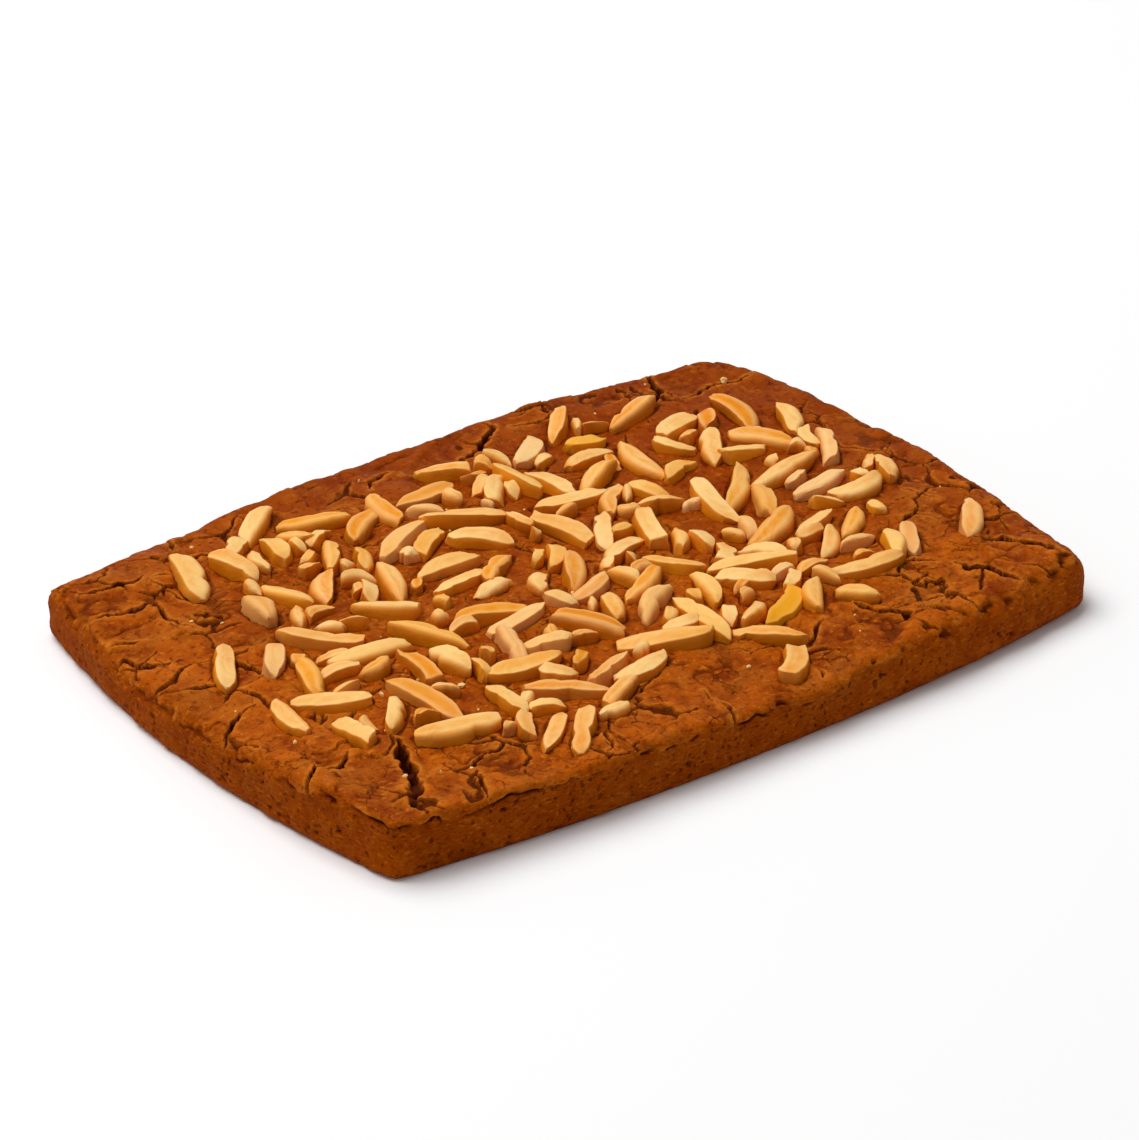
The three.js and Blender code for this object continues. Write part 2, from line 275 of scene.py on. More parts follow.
@dataclass(frozen=True)
class SlabForm:
    """The slab's form before its crust breaks, in millimetres.

    The values of rim and foot stand at eight places an eighth of a turn apart: near corner, front, right
    corner, right, far corner, back, left corner, left. The right corner is fuller and rounder than the
    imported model's.
    """

    length: float = 198.6
    width: float = 136.8
    thickness: float = 13.1
    swell_front: float = 6.5
    swell_right: float = 6.4
    swell_back: float = 7.5
    swell_left: float = 8.0
    full_front: Span = (2.4, 3.4)
    full_right: Span = (3.8, 2.0)
    full_back: Span = (2.0, 2.0)
    full_left: Span = (2.0, 2.2)
    corners: tuple[Corner, ...] = (
        Corner(-1, -1, 2.5),
        Corner(1, -1, 3.0),
        Corner(1, 1, 6.7),
        Corner(-1, 1, 1.4),
    )
    corner_pull: float = 0.5
    rim_round: tuple[float, ...] = (1.8, 2.6, 8.8, 4.0, 4.0, 3.8, 5.6, 5.2)
    rim_lift: tuple[float, ...] = (1.6, -0.8, 0.5, 0.3, 0.0, 0.0, -0.9, -1.2)
    rim_lift_power: int = 4
    foot_round: tuple[float, ...] = (2.8, 2.6, 5.0, 3.2, 3.0, 3.0, 3.4, 2.8)
    foot_cut: float = 0.4
    crown: float = 0.7
    waves: tuple[Wave, ...] = (
        Wave(64, 0.4, 0.35, 0.7),
        Wave(47, 2.0, 0.3, 2.1),
        Wave(29, 1.1, 0.25, 4.0),
        Wave(21, 2.7, 0.2, 5.2),
    )
    rim_rows: float = 0.38
    foot_rows: float = 0.26

    @property
    def half_length(self) -> float:
        """Half the length from corner to corner."""
        return self.length / 2

    @property
    def half_width(self) -> float:
        """Half the width from corner to corner."""
        return self.width / 2

    def swell(self, far: float, full: Span, share: Floats) -> Floats:
        """How far one side swells out past the straight line between its corners.

        Args:
            far: The most that it swells.
            full: How full the swelling stays towards the side's two ends; 2 is a parabola.
            share: Places along the side as shares of its half length, -1 to 1.

        Returns:
            Millimetres outwards.
        """
        return far * (1 - np.abs(share) ** np.where(share < 0, *full))

    def plan(self, u: Floats, v: Floats) -> tuple[Floats, Floats]:
        """Places in the slab's plan.

        Args:
            u: Shares of the half length, -1 to 1.
            v: Shares of the half width, -1 to 1.

        Returns:
            x and y.
        """
        left = self.swell(self.swell_left, self.full_left, v)
        right = self.swell(self.swell_right, self.full_right, v)
        front = self.swell(self.swell_front, self.full_front, u)
        back = self.swell(self.swell_back, self.full_back, u)
        x = self.half_length * u + mix(-left, right, (1 + u) / 2)
        y = self.half_width * v + mix(-front, back, (1 + v) / 2)
        for corner in self.corners:
            corner_x = self.half_length * corner.side_x
            corner_y = self.half_width * corner.side_y
            reach = np.hypot(x - corner_x, y - corner_y)
            near = np.maximum(0.0, 1 - reach / (2 * corner.round))
            pull = -self.corner_pull * corner.round * near * near / math.hypot(corner_x, corner_y)
            x = x + corner_x * pull
            y = y + corner_y * pull
        middle_x = (self.swell_right - self.swell_left) / 2
        middle_y = (self.swell_back - self.swell_front) / 2
        return x - middle_x, y - middle_y

    def along_rim(self, values: Sequence[float], x: Floats, y: Floats) -> Floats:
        """One of the rim's eight-place lists, read smoothly in the direction of each place.

        Args:
            values: The eight values.
            x: Places along the length.
            y: Places across the width.

        Returns:
            The value in each direction.
        """
        listed = np.array(values)
        eighths = np.arctan2(y / self.half_width, x / self.half_length) / (FULL_TURN / 8)
        place = (eighths + 3 + len(listed)) % len(listed)
        before = np.floor(place).astype(int) % len(listed)
        share = (1 - np.cos((place - np.floor(place)) * math.pi)) / 2
        return mix(listed[before], listed[(before + 1) % len(listed)], share)

    def top(self, x: Floats, y: Floats) -> Floats:
        """Height of the crust over the underside at each place."""
        u = np.minimum(np.abs(x) / self.half_length, 1)
        v = np.minimum(np.abs(y) / self.half_width, 1)
        height = self.thickness + self.crown * (1 - u * u) * (1 - v * v)
        height = height + self.along_rim(self.rim_lift, x, y) * np.maximum(u, v) ** self.rim_lift_power
        for wave in self.waves:
            along = x * math.cos(wave.heading) + y * math.sin(wave.heading)
            height = height + wave.high * np.sin(FULL_TURN * along / wave.length + wave.start)
        return height

    def shell(self, u: Floats, v: Floats, share: Floats) -> Shell:
        """The smooth skin of the slab.

        Args:
            u: Shares of the half length, -1 to 1.
            v: Shares of the half width, -1 to 1.
            share: How far down the side each point lies, 0 on the top and 1 on the underside.

        Returns:
            The skin's points.
        """
        outer_x, outer_y = self.plan(u, v)
        on_rim = np.clip(share / self.rim_rows, 0, 1)
        on_foot = np.clip((share - 1 + self.foot_rows) / self.foot_rows, 0, 1)
        is_foot = on_foot > 0
        angle = np.where(is_foot, on_foot, 1 - on_rim) * math.pi / 2
        rim = self.along_rim(self.rim_round, outer_x, outer_y)
        foot = self.along_rim(self.foot_round, outer_x, outer_y)
        bend = np.where(is_foot, foot, rim)
        inset = bend * (1 - np.cos(angle))
        x, y = self.plan(u * (1 - inset / self.half_length), v * (1 - inset / self.half_width))
        top = self.top(x, y)
        rim_z = top - rim * (1 - np.sin(angle))
        foot_z = foot * (1 - np.sin(angle)) - self.foot_cut
        side = np.clip((share - self.rim_rows) / (1 - self.foot_rows - self.rim_rows), 0, 1)
        side_z = mix(top - rim, foot - self.foot_cut, side)
        z = np.where(is_foot, foot_z, np.where(on_rim < 1, rim_z, side_z))
        points = np.stack([x, y, np.maximum(z, 0)], axis=1)
        return Shell(points, np.cos(angle), top - z)


@dataclass(frozen=True)
class Sliver:
    """One almond sliver: its place, the way it points in radians, and its form in millimetres."""

    x: float
    y: float
    turn: float
    long: float
    wide: float
    high: float
    blunt: float
    slant: float


@dataclass(frozen=True)
class Crack:
    """A crack through the crust: width at the top, depth, and the places that it runs through."""

    wide: float
    deep: float
    path: tuple[tuple[float, float], ...]


@dataclass(frozen=True)
class Lumps:
    """A field of smooth lumps: how high and how wide they are, and the seed that picks the field."""

    high: float
    size: float
    seed: int

    def at(self, points: Floats) -> Floats:
        """Heights of the lumps at places in millimetres."""
        return self.high * lumps(points, self.size, self.seed)


@dataclass(frozen=True)
class Patches:
    """Patches of crust where something happens, and the levels of a field of lumps where it sets in."""

    low: float
    full: float
    size: float
    seed: int

    def at(self, points: Floats) -> Floats:
        """0 outside the patches to 1 inside them, at places in millimetres."""
        return ease(self.low, self.full, lumps(points, self.size, self.seed))


@dataclass
class Baking:
    """The skin while it bakes, point by point.

    Attributes:
        shell: The smooth skin.
        torn: Its points shifted about, so that what is drawn by them gets a torn line.
        calm: 1 on bare crust, less where almonds are strewn.
        flat: 1 on the top and underside, 0 on the upright sides.
        rough: 0 on sleek skin to 1 on grainy skin.
        height: Millimetres that it has risen out of the smooth skin.
        fall: Millimetres that its cracks, pores and beds go down from there.
        lip: 0 on plain skin to 1 on a broken edge.
    """

    shell: Shell
    torn: Floats
    calm: Floats
    flat: Floats
    rough: Floats
    height: Floats
    fall: Floats
    lip: Floats

    def sink(self, fall: Floats) -> None:
        """Takes the skin down by a fall wherever it isn't lower already."""
        self.fall = np.maximum(self.fall, fall)


@dataclass
class Relief:
    """What the baking did to the skin, point by point.

    Attributes:
        height: Millimetres out of the smooth skin.
        cavity_shade: 0 on open crust to 1 deep in a crack or pore, and the painted shade that the crust
            takes there.
        lip: 0 on plain skin to 1 on the broken edge of a plate, whose colour is partly lighter crumb and
            partly painted highlight.
        tone: 0 in the skin's dents to 1 on its bumps, lower among the almonds: painted shade in the dents,
            painted highlight on the bumps.
        rough: 0 on sleek skin to 1 on grainy skin.
    """

    height: Floats
    cavity_shade: Floats
    lip: Floats
    tone: Floats
    rough: Floats


@dataclass(frozen=True)
class BakedCrust:
    """How the crust is broken and how rough it is, in millimetres.

    The values of the crisp rim stand at the same eight places as those of the slab's form.
    """

    form: SlabForm
    cracks: tuple[Crack, ...] = (
        Crack(3.4, 6.0, ((-76, -40), (-79, -46), (-82, -53), (-85, -57), (-88, -62), (-90, -66))),
        Crack(1.5, 2.4, ((-77, -55), (-72, -57), (-64, -56), (-58, -54), (-55, -59))),
        Crack(1.8, 2.6, ((-87, -37), (-92, -42), (-98, -41), (-106, -47))),
        Crack(1.8, 2.6, ((-91, -6), (-95, -7), (-100, -11), (-106, -16))),
        Crack(2.0, 2.6, ((-105, 30), (-101, 30), (-100, 25), (-95, 21))),
        Crack(1.8, 2.6, ((-104, 47), (-95, 48), (-92, 45), (-84, 44), (-86, 37), (-82, 28))),
        Crack(2.0, 2.6, ((-95, 58), (-88, 58), (-82, 55), (-74, 53))),
        Crack(1.6, 2.2, ((-67, 59), (-62, 57), (-58, 55))),
        Crack(1.6, 2.2, ((-13, 60), (-10, 63), (-3, 64), (-1, 60))),
        Crack(2.2, 3.0, ((12, 57), (15, 60), (20, 61), (25, 64), (29, 68), (28, 73))),
        Crack(2.6, 3.8, ((70, 56), (74, 59), (76, 65), (78, 69))),
        Crack(1.8, 2.6, ((75, 53), (86, 55), (91, 53), (98, 53))),
        Crack(1.6, 2.2, ((92, 13), (90, 8), (93, 3), (98, 1))),
        Crack(2.8, 4.4, ((85, -46), (89, -48), (93, -56), (95, -64))),
        Crack(2.4, 3.6, ((74, -51), (74, -56), (78, -58), (80, -67))),
        Crack(1.8, 2.6, ((60, -44), (66, -45), (70, -49))),
        Crack(2.6, 4.0, ((42, -53), (45, -58), (49, -63), (46, -65))),
        Crack(1.5, 2.2, ((53, -60), (58, -60), (62, -62), (64, -66), (62, -72))),
        Crack(1.6, 2.2, ((-10, -62), (-9, -70), (-11, -76))),
        Crack(1.8, 2.6, ((-69, -59), (-72, -63), (-76, -70))),
    )
    fine_cracks: tuple[Crack, ...] = (
        Crack(1.2, 1.6, ((-28, 57), (-24, 56), (-21, 53))),
        Crack(1.4, 1.8, ((-79, 53), (-78, 47), (-76, 39))),
        Crack(1.4, 1.8, ((-33, -62), (-39, -66), (-44, -72))),
        Crack(1.2, 1.6, ((-27, -55), (-20, -53), (-10, -50))),
        Crack(1.4, 1.8, ((18, -66), (18, -70), (16, -73))),
        Crack(1.4, 1.8, ((20, -60), (24, -59), (27, -56), (31, -54))),
        Crack(1.4, 1.8, ((33, 65), (37, 64), (41, 62), (44, 63))),
        Crack(1.2, 1.6, ((87, -17), (88, -22), (90, -27))),
        Crack(1.4, 1.8, ((-101, 37), (-97, 34), (-95, 33))),
        Crack(1.2, 1.6, ((-65, 64), (-64, 67), (-63, 70))),
    )
    torn_lines: tuple[Span, ...] = ((5.0, 1.1), (1.9, 0.55), (0.9, 0.22))
    wild_lines: tuple[Span, ...] = ((15.0, 4.0),)
    field_calm: float = 0.6
    field_dark: float = 0.4
    top_ends: Span = (0.3, 0.75)

    puffs: Lumps = Lumps(1.0, 5.2, 31)
    puff_high: float = 0.5
    puff_middle: float = 0.35
    swells: Lumps = Lumps(0.25, 9.0, 34)
    bumps: tuple[Lumps, ...] = (Lumps(0.22, 2.7, 32), Lumps(0.08, 1.3, 33))
    sleek_lean: float = 0.5
    sleek_line: Lumps = Lumps(14.0, 24.0, 35)
    sleek_from: Span = (-25.0, 75.0)
    sleek_grain: float = 0.28
    creases: Patches = Patches(0.0, 0.5, 8.0, 54)
    crease_wide: Span = (0.03, 0.17)
    crease_deep: float = 0.45

    plate_size: float = 16.0
    plate_seed: int = 41
    plate_deep: float = 1.1
    plate_tilt: float = 0.04
    tilt_seed: int = 46
    plate_step: float = 0.8
    step_seed: int = 49
    plate_edge: float = 0.5
    seams: Patches = Patches(-0.25, 0.3, 10.0, 44)
    seam_opens: Span = (0.05, 0.4)
    seam_wide: float = 0.5
    seam_uneven: Lumps = Lumps(0.34, 3.0, 45)
    seam_floor: float = 0.3
    lip_wide: float = 0.9
    lip_high: float = 0.3

    crack_reach: float = 4.0
    crack_end: float = 0.25
    crack_gape: Span = (0.6, 1.1)
    gape_from: Span = (1.8, 2.8)
    crack_uneven: tuple[Lumps, ...] = (Lumps(0.35, 3.4, 61), Lumps(0.25, 1.3, 63))
    crack_floor: float = 0.45
    crack_fades: Span = (0.4, 1.3)
    edge_blur: float = 0.1
    rubble: Lumps = Lumps(1.0, 3.4, 62)
    rubble_from: Span = (-0.3, 0.4)
    filled_from: Span = (2.8, 3.4)
    open_plain: Span = (0.85, 0.2)
    open_filled: Span = (0.3, 0.7)
    crack_lip_wide: float = 1.0
    crack_lip_high: float = 0.25

    rim_line: float = 1.3
    rim_line_uneven: tuple[Lumps, ...] = (Lumps(0.9, 9.0, 71), Lumps(1.0, 2.6, 72))
    rim_line_wide: float = 0.3
    rim_crisp: tuple[float, ...] = (1.0, 1.0, 0.8, 0.8, 0.7, 0.7, 0.6, 0.5)
    recess_from: Span = (0.2, 0.6)
    rim_from: Span = (0.2, 0.5)
    wall_recess: float = 0.6
    wall_out: float = 0.6
    wall_bumps: tuple[Lumps, ...] = (Lumps(0.18, 3.4, 73), Lumps(0.1, 1.4, 74))
    rim_lip_wide: float = 0.4
    rim_lips: Patches = Patches(-0.3, 0.5, 4.0, 75)
    tear_below: float = 0.5
    tear_wide: float = 0.36
    tear_deep: float = 1.0
    tears: Patches = Patches(0.0, 0.45, 3.2, 76)

    pore_size: float = 1.8
    pore_seed: int = 81
    pore_wide: Span = (0.25, 0.75)
    pore_wide_seed: int = 84
    pore_share: Span = (0.04, 0.36)
    pore_share_seed: int = 85
    pore_squash: tuple[float, ...] = (0.65, 0.65, 1.3)
    pore_deep: float = 0.9

    bed_wide: Span = (0.2, 0.8)
    bed_deep: float = 0.6
    bed_gaps: Patches = Patches(-0.7, 0.5, 3.6, 77)
    shade_deep: float = 0.55
    relief_shading_from: Span = (-0.5, 0.5)

    def ragged(self, points: Floats, lines: Sequence[Span]) -> Floats:
        """Shifts points about, so that what is drawn by them gets a torn line.

        Args:
            points: Places in millimetres.
            lines: How long the line's wiggles are and how far they reach.

        Returns:
            The shifted places.
        """
        shifted = points.copy()
        for seed, (size, far) in enumerate(lines):
            for axis in range(3):
                shifted[:, axis] += far * lumps(points, size, 10 * seed + axis + 1)
        return shifted

    def along_crack(self, places: Floats, crack: Crack) -> tuple[Floats, Floats]:
        """Where places lie beside a crack.

        Args:
            places: x and y of each place.
            crack: The crack.

        Returns:
            The distance from its path, and how far along it that is, 0 to 1.
        """
        stops = np.array(crack.path, float)
        steps = np.diff(stops, axis=0)
        runs = np.linalg.norm(steps, axis=1)
        before = np.concatenate([[0], np.cumsum(runs)])
        distance = np.full(len(places), np.inf)
        share = np.zeros(len(places))
        for start, step, run, done in zip(stops, steps, runs, before):
            along = np.clip((places - start) @ step / run**2, 0, 1)
            away = np.linalg.norm(places - start - along[:, None] * step, axis=1)
            share = np.where(away < distance, (done + along * run) / before[-1], share)
            distance = np.minimum(distance, away)
        return distance, share

    def beds(self, points: Floats, almonds: Sequence[Sliver]) -> Floats:
        """The beds that the almonds are baked into, each a little wider than its almond.

        Args:
            points: Places in millimetres.
            almonds: What lies on the crust.

        Returns:
            1 under an almond and at its foot, 0 away from it.
        """
        bed = np.zeros(len(points))
        for almond in almonds:
            away = points[:, :2] - (almond.x, almond.y)
            near = np.flatnonzero(np.abs(away).max(axis=1) < almond.long / 2 + self.bed_wide[1])
            along = away[near] @ (math.cos(almond.turn), math.sin(almond.turn)) / (almond.long / 2)
            across = away[near] @ (-math.sin(almond.turn), math.cos(almond.turn))
            half = almond.wide / 2 * (1 - (1 - almond.blunt) * np.minimum(np.abs(along), 1) ** 3)
            past_side = np.maximum(np.abs(across) - half, 0)
            past_end = np.maximum(np.abs(along) - 1, 0) * almond.long / 2
            bed[near] = np.maximum(bed[near], 1 - ease(*self.bed_wide, np.hypot(past_side, past_end)))
        return bed

    def puff_up(self, shell: Shell, field: Floats) -> Baking:
        """The skin before it breaks: puffed up, bumpy, and creased between its puffs.

        Args:
            shell: The smooth skin.
            field: 1 where almonds are strewn and the crust is smoother, 0 well outside.

        Returns:
            The skin as it starts to break.
        """
        points = shell.points
        torn = self.ragged(points, self.torn_lines)
        calm = 1 - self.field_calm * field
        flat = 1 - ease(*self.top_ends, shell.wall)
        puffs = np.abs(self.puffs.at(torn))
        height = self.puff_high * calm * (puffs - self.puff_middle) + calm * self.swells.at(points)
        toward_far = self.sleek_lean * points[:, 0] + points[:, 1] + self.sleek_line.at(points)
        rough = mix(1.0, self.sleek_grain, ease(*self.sleek_from, toward_far))
        height += rough * sum(bump.at(torn) for bump in self.bumps)
        patch = self.creases.at(points) * calm
        fall = self.crease_deep * patch * flat * (1 - ease(*self.crease_wide, puffs))
        return Baking(shell, torn, calm, flat, rough, height, fall, np.zeros(len(points)))

    def part_plates(self, baking: Baking) -> None:
        """Breaks the top into plates that gape, tilt and step."""
        points, calm, flat = baking.shell.points, baking.calm, baking.flat
        plates = find_plates(self.ragged(baking.torn, self.wild_lines), self.plate_size, self.plate_seed)
        seam = self.seams.at(points) * calm * flat
        gap = seam * (self.seam_wide + self.seam_uneven.at(points))
        past = ease(self.seam_floor * gap, gap + self.edge_blur, plates.border)
        baking.sink(self.plate_deep * (ease(*self.seam_opens, seam) * (1 - past)))
        baking.lip = seam * np.exp(-((plates.border / self.lip_wide) ** 2))
        tilts = [hashed(plates.cell, self.tilt_seed + axis) - 0.5 for axis in range(3)]
        lean = sum(tilt * plates.offset[:, axis] for axis, tilt in enumerate(tilts))
        step = self.plate_step * (hashed(plates.cell, self.step_seed) - 0.5)
        inner = ease(0.0, self.plate_edge, plates.border)
        baking.height += inner * calm * flat * (2 * self.plate_tilt * lean + step)
        baking.height += self.lip_high * baking.lip

    def open_cracks(self, baking: Baking) -> None:
        """Opens the cracks that have a place of their own, the widest with rubble in them."""
        points, down = baking.shell.points, baking.shell.down
        for crack in self.cracks + self.fine_cracks:
            stops = np.array(crack.path)
            reach = self.crack_reach + crack.wide
            low, high = stops.min(axis=0) - reach, stops.max(axis=0) + reach
            inside = (points[:, :2] > low) & (points[:, :2] < high)
            near = np.flatnonzero(inside.all(axis=1) & (down < 1.5 * crack.deep))
            distance, share = self.along_crack(baking.torn[near, :2], crack)
            taper = mix(self.crack_end, 1, np.sin(math.pi * share))
            gape = mix(*self.crack_gape, ease(*self.gape_from, crack.wide))
            uneven = sum((one.at(points[near]) for one in self.crack_uneven), start=1)
            half = crack.wide / 2 * gape * taper * uneven
            opening = 1 - ease(self.crack_floor * half, half + self.edge_blur, distance)
            fade = 1 - ease(*self.crack_fades, down[near] / crack.deep)
            rubble = self.rubble.at(points[near])
            plain = self.open_plain[0] + self.open_plain[1] * rubble
            filled = self.open_filled[0] + self.open_filled[1] * ease(*self.rubble_from, rubble)
            open_share = mix(plain, filled, ease(*self.filled_from, crack.wide))
            deep = crack.deep * taper * fade * open_share
            baking.fall[near] = np.maximum(baking.fall[near], deep * opening)
            rise = np.exp(-(((distance - half) / self.crack_lip_wide) ** 2)) * fade
            baking.lip[near] = np.maximum(baking.lip[near], rise)
            baking.height[near] += rise * (self.crack_lip_high + self.crack_lip_high * rubble)

    def tear_rim(self, baking: Baking) -> Floats:
        """Tears the skin along a ragged line under the rim, and roughens the wall below it.

        Args:
            baking: The skin.

        Returns:
            1 on the wall below the line, 0 above it.
        """
        points, wall, down = baking.shell.points, baking.shell.wall, baking.shell.down
        line = sum((one.at(points) for one in self.rim_line_uneven), start=self.rim_line)
        under = ease(line, line + self.rim_line_wide, down) * ease(*self.recess_from, wall)
        crisp = self.form.along_rim(self.rim_crisp, points[:, 0], points[:, 1])
        baking.height += self.wall_recess * crisp * (self.wall_out * wall - under)
        baking.height += wall * sum(bump.at(baking.torn) for bump in self.wall_bumps)
        on_rim = ease(*self.rim_from, wall)
        edge = np.exp(-(((down - line) / self.rim_lip_wide) ** 2)) * on_rim
        baking.lip = np.maximum(baking.lip, edge * self.rim_lips.at(points))
        below = np.exp(-(((down - line - self.tear_below) / self.tear_wide) ** 2)) * on_rim
        baking.sink(self.tear_deep * crisp * below * self.tears.at(points))
        return under

    def prick_pores(self, baking: Baking, under: Floats) -> None:
        """Pricks pores into the crust, most of them on the wall under the rim's line."""
        pores = find_plates(baking.torn * np.array(self.pore_squash), self.pore_size, self.pore_seed)
        far = np.linalg.norm(pores.offset, axis=1)
        wide = mix(*self.pore_wide, hashed(pores.cell, self.pore_wide_seed) ** 2)
        some = hashed(pores.cell, self.pore_share_seed) < mix(*self.pore_share, under)
        hole = np.where(some, 1 - ease(0.5 * wide, wide, far), 0)
        baking.sink(self.pore_deep * hole * wide / self.pore_wide[1])

    def relief(self, shell: Shell, field: Floats, bed: Floats) -> Relief:
        """Breaks and roughens the skin.

        Args:
            shell: The smooth skin.
            field: 1 where almonds are strewn and the crust is smoother, 0 well outside.
            bed: 1 where an almond is baked in, 0 away from it.

        Returns:
            What the baking did to each point.
        """
        baking = self.puff_up(shell, field)
        self.part_plates(baking)
        self.open_cracks(baking)
        self.prick_pores(baking, self.tear_rim(baking))
        baking.sink(self.bed_deep * bed * self.bed_gaps.at(shell.points))
        # Painted shade: the crust darkens with how far its cracks, creases, pores and almond beds go down.
        cavity_shade = 1 - np.exp(-baking.fall / self.shade_deep)
        # Painted highlight on the bumps and painted shade in the dents; darker among the almonds.
        tone = ease(*self.relief_shading_from, baking.height) * (1 - self.field_dark * field)
        return Relief(baking.height - baking.fall, cavity_shade, baking.lip * (1 - cavity_shade), tone, baking.rough)


@dataclass(frozen=True)
class Handful:
    """Almonds strewn at one go: how many, and their smallest and largest sizes."""

    count: int
    long: Span
    wide: Span

    def toward(self, other: "Handful", share: float) -> "Handful":
        """The handful whose sizes lie a share of the way to those of another."""
        long, wide = [
            tuple(mix(here, there, share) for here, there in zip(mine, theirs))
            for mine, theirs in ((self.long, other.long), (self.wide, other.wide))
        ]
        return Handful(self.count, long, wide)


@dataclass(frozen=True)
class Strewing:
    """Where the almonds lie, by the same rule and draws as in the part's source."""

    field_edge: tuple[tuple[float, ...], ...] = (
        (-64, -45, -12, 20, 7.0),
        (-47.5, -57.5, 39, 16, 4.4),
        (-42.5, -62, 45, 18, 5.0),
        (-32, -59, 3, 8, 4.6),
        (-15, -47, 8, 16, 5.8),
        (17, -53, -44, 17, 5.6),
        (45, -50, -48, 10, 5.4),
        (55, -42, -8, 19, 5.2),
        (72, -37, 57, 15, 4.8),
        (78, -12, 3, 15, 5.6),
        (90, -8, 58, 12, 5.6),
        (86, 9, 57, 15, 4.4),
        (89, 27, 65, 14, 5.6),
        (81, 37, 80, 19, 6.6),
        (60, 52, 18, 18, 6.2),
        (41, 57, 48, 16, 4.8),
        (28, 52, 38, 16, 6.4),
        (4, 54, -38, 13, 5.4),
        (-18, 48, 85, 15, 5.4),
        (-33, 54, -30, 18, 5.8),
        (-45, 61, 40, 16, 6.0),
        (-71, 48, 72, 18, 7.4),
        (-68, 25, 84, 14, 6.4),
        (-78, 5, 50, 13, 5.4),
        (-78, -17, -35, 18, 6.6),
        (-82, -31, 90, 14, 5.6),
    )
    lone: tuple[tuple[float, ...], ...] = (
        (-89, -17, 80, 17, 5.2),
        (-88, 10, 60, 18, 5.4),
        (89, -39, 47, 16, 6.0),
        (14, -65, 45, 12, 6.0),
    )
    handfuls: int = 11
    first_handful: Handful = Handful(10, (18, 23), (5.4, 7.2))
    last_handful: Handful = Handful(10, (7, 9.5), (3.6, 4.8))
    chips: Handful = Handful(70, (4.0, 9.0), (2.6, 4.2))
    thrown_over: Span = (200.0, 134.5)
    throws: int = 4000
    seed: int = 18358
    heading: float = 52.0
    spread: float = 125.0
    overlap: float = 1.3
    high: Span = (3.0, 4.3)
    blunt: Span = (0.3, 0.8)
    slant: Span = (-0.14, 0.14)

    def is_in_field(self, x: float, y: float) -> bool:
        """Whether a place lies inside the ring of almonds round the strewn field."""
        inside = False
        for here, there in zip(self.field_edge, self.field_edge[1:] + self.field_edge[:1]):
            spans = (here[1] > y) != (there[1] > y)
            if spans and x < here[0] + (there[0] - here[0]) * (y - here[1]) / (there[1] - here[1]):
                inside = not inside
        return inside

    def discs(self, x: float, y: float, turn: float, long: float, wide: float) -> Floats:
        """The middles of a row of discs, as wide as the sliver, that cover it from end to end."""
        count = math.ceil(long / wide) + 1
        along = np.linspace(-(long - wide) / 2, (long - wide) / 2, count)
        return np.stack([x + along * math.cos(turn), y + along * math.sin(turn)], axis=1)

    def is_clear(self, place: tuple[float, ...], others: Sequence[Sliver]) -> bool:
        """Whether a sliver presses into none of the others by more than the overlap.

        Args:
            place: x, y, turn, length and width of the sliver.
            others: The slivers that lie there already.

        Returns:
            True where it may lie.
        """
        x, y, _, long, wide = place
        mine = None
        for other in others:
            if math.hypot(x - other.x, y - other.y) > (long + other.long) / 2:
                continue
            mine = self.discs(*place) if mine is None else mine
            theirs = self.discs(other.x, other.y, other.turn, other.long, other.wide)
            gaps = np.linalg.norm(mine[:, None] - theirs[None], axis=2)
            if gaps.min() <= (wide + other.wide) / 2 - self.overlap:
                return False
        return True

    def character(self, place: tuple[float, ...], stream: Stream) -> Sliver:
        """A sliver at a place, with its height, ends and top drawn."""
        high = stream.between(self.high)
        blunt = stream.between(self.blunt)
        return Sliver(*place, high, blunt, stream.between(self.slant))

    def strew(self, handful: Handful, lying: Sequence[Sliver], stream: Stream) -> list[Sliver]:
        """Strews one handful clear of the slivers that lie there already.

        Args:
            handful: What is strewn.
            lying: The slivers that lie there already.
            stream: The draws.

        Returns:
            The handful's slivers.
        """
        strewn: list[Sliver] = []
        for _ in range(self.throws):
            x = self.thrown_over[0] * (stream.draw() - 0.5)
            y = self.thrown_over[1] * (stream.draw() - 0.5)
            turn = math.radians(self.heading + self.spread * (stream.draw() + stream.draw() - 1))
            long = stream.between(handful.long)
            wide = stream.between(handful.wide)
            place = (x, y, turn, long, wide)
            if self.is_in_field(x, y) and self.is_clear(place, [*lying, *strewn]):
                strewn.append(self.character(place, stream))
            if len(strewn) == handful.count:
                break
        return strewn

    def strew_all(self) -> tuple[list[Sliver], list[Sliver]]:
        """Strews the ones with a place of their own, then the handfuls, then the chips.

        Returns:
            The slivers, and the chips.
        """
        stream = Stream(self.seed)
        lying: list[Sliver] = []
        for x, y, degrees, long, wide in self.field_edge + self.lone:
            lying.append(self.character((x, y, math.radians(degrees), long, wide), stream))
        for number in range(self.handfuls):
            handful = self.first_handful.toward(self.last_handful, number / (self.handfuls - 1))
            lying += self.strew(handful, lying, stream)
        return lying, self.strew(self.chips, lying, stream)

    def field(self, x: Floats, y: Floats, fade: float) -> Floats:
        """How far places lie inside the strewn field.

        Args:
            x: Places along the length.
            y: Places across the width.
            fade: Width of the change at the field's edge in millimetres.

        Returns:
            1 well inside, 0 well outside.
        """
        ring = np.array([row[:2] for row in self.field_edge])
        places = np.stack([x, y], axis=1)
        inside = np.zeros(len(x), bool)
        distance = np.full(len(x), np.inf)
        for here, there in zip(ring, np.roll(ring, -1, axis=0)):
            step = there - here
            along = np.clip((places - here) @ step / (step @ step), 0, 1)
            away = np.linalg.norm(places - here - along[:, None] * step, axis=1)
            distance = np.minimum(distance, away)
            spans = (here[1] > y) != (there[1] > y)
            with np.errstate(divide="ignore", invalid="ignore"):
                crossing = here[0] + step[0] * (y - here[1]) / step[1]
            inside ^= spans & (x < crossing)
        return ease(-fade / 2, fade / 2, np.where(inside, distance, -distance))


